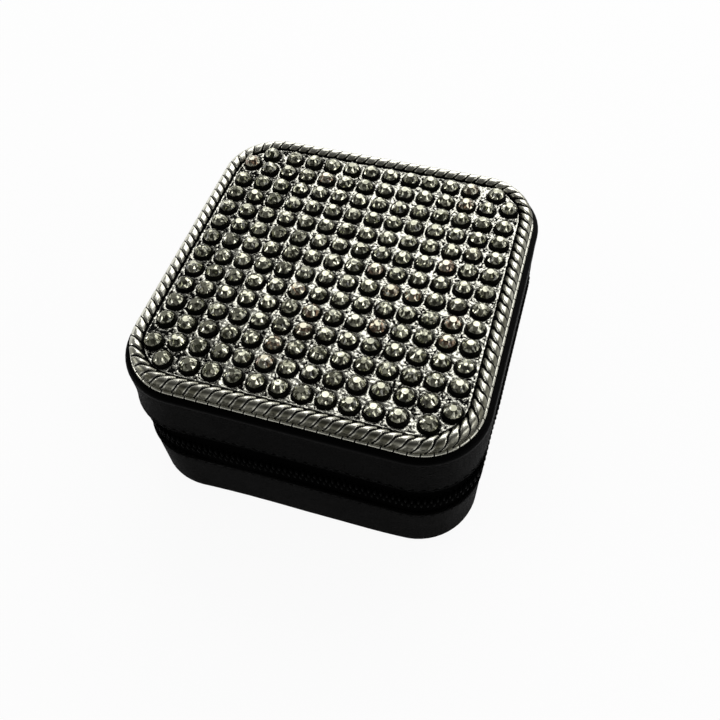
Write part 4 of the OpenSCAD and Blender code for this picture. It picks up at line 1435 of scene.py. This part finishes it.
tab = {"thick": 1.0 * mm, "stitchIn": 0.9 * mm, "pitch": 1.7 * mm}
low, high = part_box("snap_tab_bar")
place(roundedBox("tabBar", low, high, 0.5 * mm, 1.5 * mm), "lid", "leather", leatherTrim, "snap_tab_bar")
barStitches = [(low.x + 1 * mm, low.y + 0.7 * mm, low.z), (high.x - 1 * mm, low.y + 0.7 * mm, low.z)]
rowSizes = {"Pitch": tab["pitch"], "Length": 1.25 * mm, "Thick": 0.13 * mm}
row = grow("tabBarStitches", stitchTree, rowSizes, lineObject("tabBarStitches", barStitches))
place(row, "lid", "leather", None)


def strapLoop(x, y0, y1, half, inset=0.0):
    # strap outline from its root to its round end; y1 is the middle of the round end
    r = half - inset
    end = [(x + r * cosOf(a), y1 + r * sinOf(a)) for a in range(0, 181, 12)]
    return [(x + r, y0 + inset)] + end + [(x - r, y0 + inset)]


def snapLathe(name, points, x, y):
    # a snap's part from its section, radius in mm beside height
    return lathe(name, [(radius * mm, z) for radius, z in points], (x, y, 0))


for i, name in enumerate(("left", "middle", "right"), 1):
    low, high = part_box(f"snap_tab_{i}")
    body = f"tab_{name}"
    x, half = (low.x + high.x) / 2, (high.x - low.x) / 2
    endY = high.y - half
    loop = strapLoop(x, low.y - 0.25 * mm, endY, half)
    rows = [loop[0]] + [(x + half, low.y + (endY - low.y) * k / 8) for k in range(1, 8)] + loop[1:-1]
    rows += [(x - half, low.y + (endY - low.y) * k / 8) for k in range(7, 0, -1)] + [loop[-1]]
    middle = (0, 0, (low.z + high.z) / 2)
    strap = flatSolid(f"{name}Strap", [rows], tab["thick"], 0.3 * mm, middle, (1, 0, 0), (0, 1, 0))
    strap.data.materials.append(leatherTrim)
    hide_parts(f"snap_tab_{i}")
    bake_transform(strap)
    for side, z in (("Lower", low.z + 0.02 * mm), ("Upper", high.z - 0.02 * mm)):
        line = [(u, v, z) for u, v in strapLoop(x, low.y + 1.0 * mm, endY, half, tab["stitchIn"])]
        row = grow(f"{name}Strap{side}Stitches", stitchTree, rowSizes, lineObject("stitches", line))
        place(row, body, "leather", None)
    capLow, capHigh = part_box(f"snap_cap_{i}")
    cy = (capLow.y + capHigh.y) / 2
    capPoints = [(radius, capLow.z + up * mm) for radius, up in (
        (0, 0), (1.5, 0.03), (2.2, 0.16), (2.5, 0.36), (2.62, 0.3), (2.9, 0.42), (3.0, 0.66))]
    cap = snapLathe("cap", capPoints + [(2.95, low.z + 0.1 * mm), (0, low.z + 0.1 * mm)], x, cy)
    socketPoints = [(radius, high.z + up * mm) for radius, up in (
        (0, -0.1), (2.4, -0.1), (2.4, 0.25), (2.15, 0.5), (1.9, 0.7), (1.55, 0.7), (1.25, 0.5), (1.2, 0.15),
        (0, 0.12))]
    socket = snapLathe("socket", socketPoints, x, cy)
    place(merged(f"{name}Snap", [cap, socket]), body, "black_metal", blackEnamel, f"snap_cap_{i}")

low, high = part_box("snap_studs")
studPoints = [(radius, high.z - down * mm) for radius, down in (
    (0, 0), (3, 0), (3, 0.35), (2.7, 0.6), (1.6, 0.7), (1.3, 0.85))]
studPoints += [(radius, low.z + up * mm) for radius, up in ((1.0, 0.35), (1.12, 0.12), (0.9, 0), (0, 0))]
studs = []
for i in (1, 2, 3):
    tabLow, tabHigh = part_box(f"snap_tab_{i}")
    capLow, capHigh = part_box(f"snap_cap_{i}")
    studs.append(snapLathe("stud", studPoints, (tabLow.x + tabHigh.x) / 2, (capLow.y + capHigh.y) / 2))
place(merged("snapStuds", studs), "lid", "black_metal", blackEnamel, "snap_studs")
print("stage: snap tabs")


# slider and pull, in black enamelled metal

slide = {"y": 26 * mm, "long": 9 * mm, "wide": 7.2 * mm, "innerWide": 5.4 * mm, "thick": 0.8 * mm,
         "outerX": -51.0 * mm, "innerX": -47.7 * mm, "barX": -53.03 * mm, "barR": 0.6 * mm, "post": 0.8 * mm,
         "postZ": 1.9 * mm, "web": 0.15 * mm}


def bladeLoop(length, wide):
    # shield outline: wide where the coils part and narrower where they leave together
    a, b = length / 2, wide / 2
    return roundedLoop(-a, a, -b, b, (1.5 * mm, 2.2 * mm, 2.2 * mm, 1.5 * mm), 7)


parts = []
barX, barR, y = slide["barX"], slide["barR"], slide["y"]
for x, wide in ((slide["outerX"], slide["wide"]), (slide["innerX"], slide["innerWide"])):
    parts.append(flatSolid("blade", [bladeLoop(slide["long"], wide)], slide["thick"], 0.25 * mm,
                           (x, y, split), (0, 1, 0), (0, 0, 1)))
web = slide["web"]
webLow, webHigh = (-50.75 * mm, y - 2.9 * mm, split - web), (-47.9 * mm, y + 0.1 * mm, split + web)
parts.append(roundedBox("web", webLow, webHigh, 0.12 * mm, 1 * mm))
for side in (-1, 1):
    reach, root = barR + 0.6 * mm, slide["outerX"] - 0.2 * mm
    loop = [(root, y - 2.0 * mm)]
    loop += [(barX + reach * cosOf(a), y + reach * sinOf(a)) for a in range(270, 89, -15)]
    loop += [(root, y + 2.0 * mm)]
    parts.append(flatSolid("post", [loop], slide["post"], 0.18 * mm, (0, 0, split + side * slide["postZ"]),
                           (1, 0, 0), (0, 1, 0)))
end = slide["postZ"] + 0.5 * mm
barPoints = [(0, -end), (0.4 * mm, -end), (barR, 0.15 * mm - end)]
barPoints += [(radius, -z) for radius, z in reversed(barPoints)]
parts.append(lathe("bar", [(radius, split + z) for radius, z in barPoints], (barX, y, 0), 20))
place(merged("zipSlider", parts), "slider", "black_metal", blackEnamel, "slider_body")

pull = {"long": 24 * mm, "wide": 5.2 * mm, "thick": 1.1 * mm, "eye": 2.6 * mm, "neck": 4 * mm,
        "hole": 0.68 * mm, "eyeR": 1.43 * mm, "slotNear": 0.9 * mm, "slotFar": 1.2 * mm}
half = pull["wide"] / 2
tip = -pull["long"] + half
neckHalf = pull["eye"] / 2
outline = [(0.2 * mm, -neckHalf), (0.2 * mm, neckHalf), (-pull["neck"] + 0.6 * mm, neckHalf),
           (-pull["neck"] - 0.3 * mm, neckHalf + 0.25 * mm), (-pull["neck"] - 1.2 * mm, half - 0.4 * mm),
           (-pull["neck"] - 2.2 * mm, half - 0.05 * mm)]
outline += [(tip - half * sinOf(a), half * cosOf(a)) for a in range(0, 181, 12)]
outline += [(u, -v) for u, v in reversed(outline[2:6])]
outline.reverse()
near, far = pull["slotNear"], pull["slotFar"]
slot = [(tip + 5.0 * mm + near * sinOf(a), near * cosOf(a)) for a in range(0, 181, 20)]
slot += [(tip + 1.0 * mm - far * sinOf(a), -far * cosOf(a)) for a in range(0, 181, 20)]
blade = flatSolid("pullBlade", [outline, slot], pull["thick"], 0.3 * mm, (barX, y, split),
                  (0, 1, 0), (0, 0, 1))
# the eye round the bar, from its section
hole, eyeR, rows = pull["hole"], pull["eyeR"], 28
eyePoints = [(hole, 0.1 * mm - neckHalf), (hole + 0.12 * mm, -neckHalf), (eyeR - 0.2 * mm, -neckHalf),
             (eyeR, 0.2 * mm - neckHalf)]
eyePoints += [(radius, -z) for radius, z in reversed(eyePoints)]
verts = []
for k in range(rows):
    turn = 2 * math.pi * k / rows
    verts += [(barX + radius * math.cos(turn), y + radius * math.sin(turn), split + z)
              for radius, z in eyePoints]
eye = closeUp(meshObject("pullEye", verts, quads(rows, len(eyePoints), True, True)))
place(merged("zipPull", [blade, eye]), "pull", "black_metal", blackEnamel, "pull_tab")
print("stage: slider and pull")


# the CAD pieces that stay get their finishes

for name, material in (("base_board", greyboard), ("lid_board", greyboard), ("plate_pad", foamPad)):
    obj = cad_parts[name]
    if obj.material_slots:
        for own in obj.material_slots:
            own.material = material
    else:
        obj.data.materials.append(material)


# floor, light and camera

floorLook = {"reach": 4.0, "color": grey(0.82), "toCamera": 0.68, "toMirror": 0.25}


def makeFloor():
    material = bpy.data.materials.new("paleFloor")
    tree = blankTree(material)
    white = node(tree, "ShaderNodeBsdfDiffuse")
    feed(white.inputs["Color"], floorLook["color"])
    glow = node(tree, "ShaderNodeEmission")
    feed(glow.inputs["Color"], grey(1))
    feed(glow.inputs["Strength"], 1.0)
    rays = node(tree, "ShaderNodeLightPath").outputs
    mirror = larger(rays["Is Glossy Ray"], rays["Is Transmission Ray"])
    seen = larger(rays["Is Camera Ray"], mirror)
    mixed = node(tree, "ShaderNodeMixShader")
    mirrored = times(seen, floorLook["toMirror"])
    feed(mixed.inputs[0], timesPlus(rays["Is Camera Ray"], floorLook["toCamera"], mirrored))
    feed(mixed.inputs[1], white.outputs[0])
    feed(mixed.inputs[2], glow.outputs[0])
    out = node(tree, "ShaderNodeOutputMaterial")
    feed(out.inputs[0], mixed.outputs[0])
    reach = floorLook["reach"]
    corners = [(-reach, -reach, 0), (reach, -reach, 0), (reach, reach, 0), (-reach, reach, 0)]
    floor = meshObject("floor", corners, [(0, 1, 2, 3)])
    floor.data.materials.append(material)


studio = {"ambient": 0.5, "zenith": 0.12, "horizon": 0.7, "lowZ": 0.2, "highZ": 0.62, "front": 0.5,
          "back": 1.5}


def makeWorld():
    world = bpy.data.worlds.new("studio")
    scene.world = world
    tree = blankTree(world)
    _, deep, up = apart(node(tree, "ShaderNodeTexCoord").outputs["Generated"])
    sky = ramp(up, studio["lowZ"], studio["highZ"], studio["horizon"], studio["zenith"])
    rays = node(tree, "ShaderNodeLightPath").outputs
    mirror = larger(rays["Is Glossy Ray"], rays["Is Transmission Ray"])
    level = timesPlus(mirror, minus(sky, studio["ambient"]), studio["ambient"])
    # brighter behind the case than in front of it
    level = times(level, ramp(deep, -0.7, 0.7, studio["front"], studio["back"]))
    level = timesPlus(rays["Is Camera Ray"], minus(1.0, level), level)
    back = node(tree, "ShaderNodeBackground")
    feed(back.inputs["Color"], xyz(level, level, level))
    out = node(tree, "ShaderNodeOutputWorld")
    feed(out.inputs[0], back.outputs[0])


# directions, distances and sizes in metres, and power in watts
softBoxes = {
    "backBox": {"toward": (0.06, 0.74, 0.69), "distance": 0.9, "width": 0.95, "height": 0.68, "energy": 4.4},
    "rightBox": {"toward": (1.0, -0.1, 0.5), "distance": 1.0, "width": 0.5, "height": 0.4, "energy": 1.6},
    "leftBox": {"toward": (-1.0, -0.25, 0.4), "distance": 1.0, "width": 0.3, "height": 0.4, "energy": 1.4}}


def softBox(name, toward, distance, width, height, energy):
    # area light that looks at the case from a direction
    light = bpy.data.lights.new(name, "AREA")
    light.shape = "RECTANGLE"
    light.size, light.size_y, light.energy = width, height, energy
    obj = bpy.data.objects.new(name, light)
    scene.collection.objects.link(obj)
    direction = Vector(toward).normalized()
    obj.location = Vector((0, 0, 30 * mm)) + direction * distance
    obj.rotation_euler = direction.to_track_quat("Z", "Y").to_euler()


makeFloor()
makeWorld()
for name, look in softBoxes.items():
    softBox(name, **look)

view = {"place": Vector((53.14, -130.88, 216.19)) * mm, "lens": 38.466, "right": (0.95462, 0.29507, -0.04062),
        "up": (-0.22211, 0.79606, 0.56297), "back": (0.19846, -0.52840, 0.82547)}
cameraData = bpy.data.cameras.new("camera")
cameraData.sensor_width = 36.0
cameraData.lens = view["lens"]
cameraData.clip_start = 0.01
camera = bpy.data.objects.new("camera", cameraData)
scene.collection.objects.link(camera)
axes = Matrix((view["right"], view["up"], view["back"])).transposed()
camera.matrix_world = Matrix.Translation(view["place"]) @ axes.to_4x4()
scene.camera = camera
scene.view_settings.view_transform = "Standard"
print("stage: floor, light and camera")
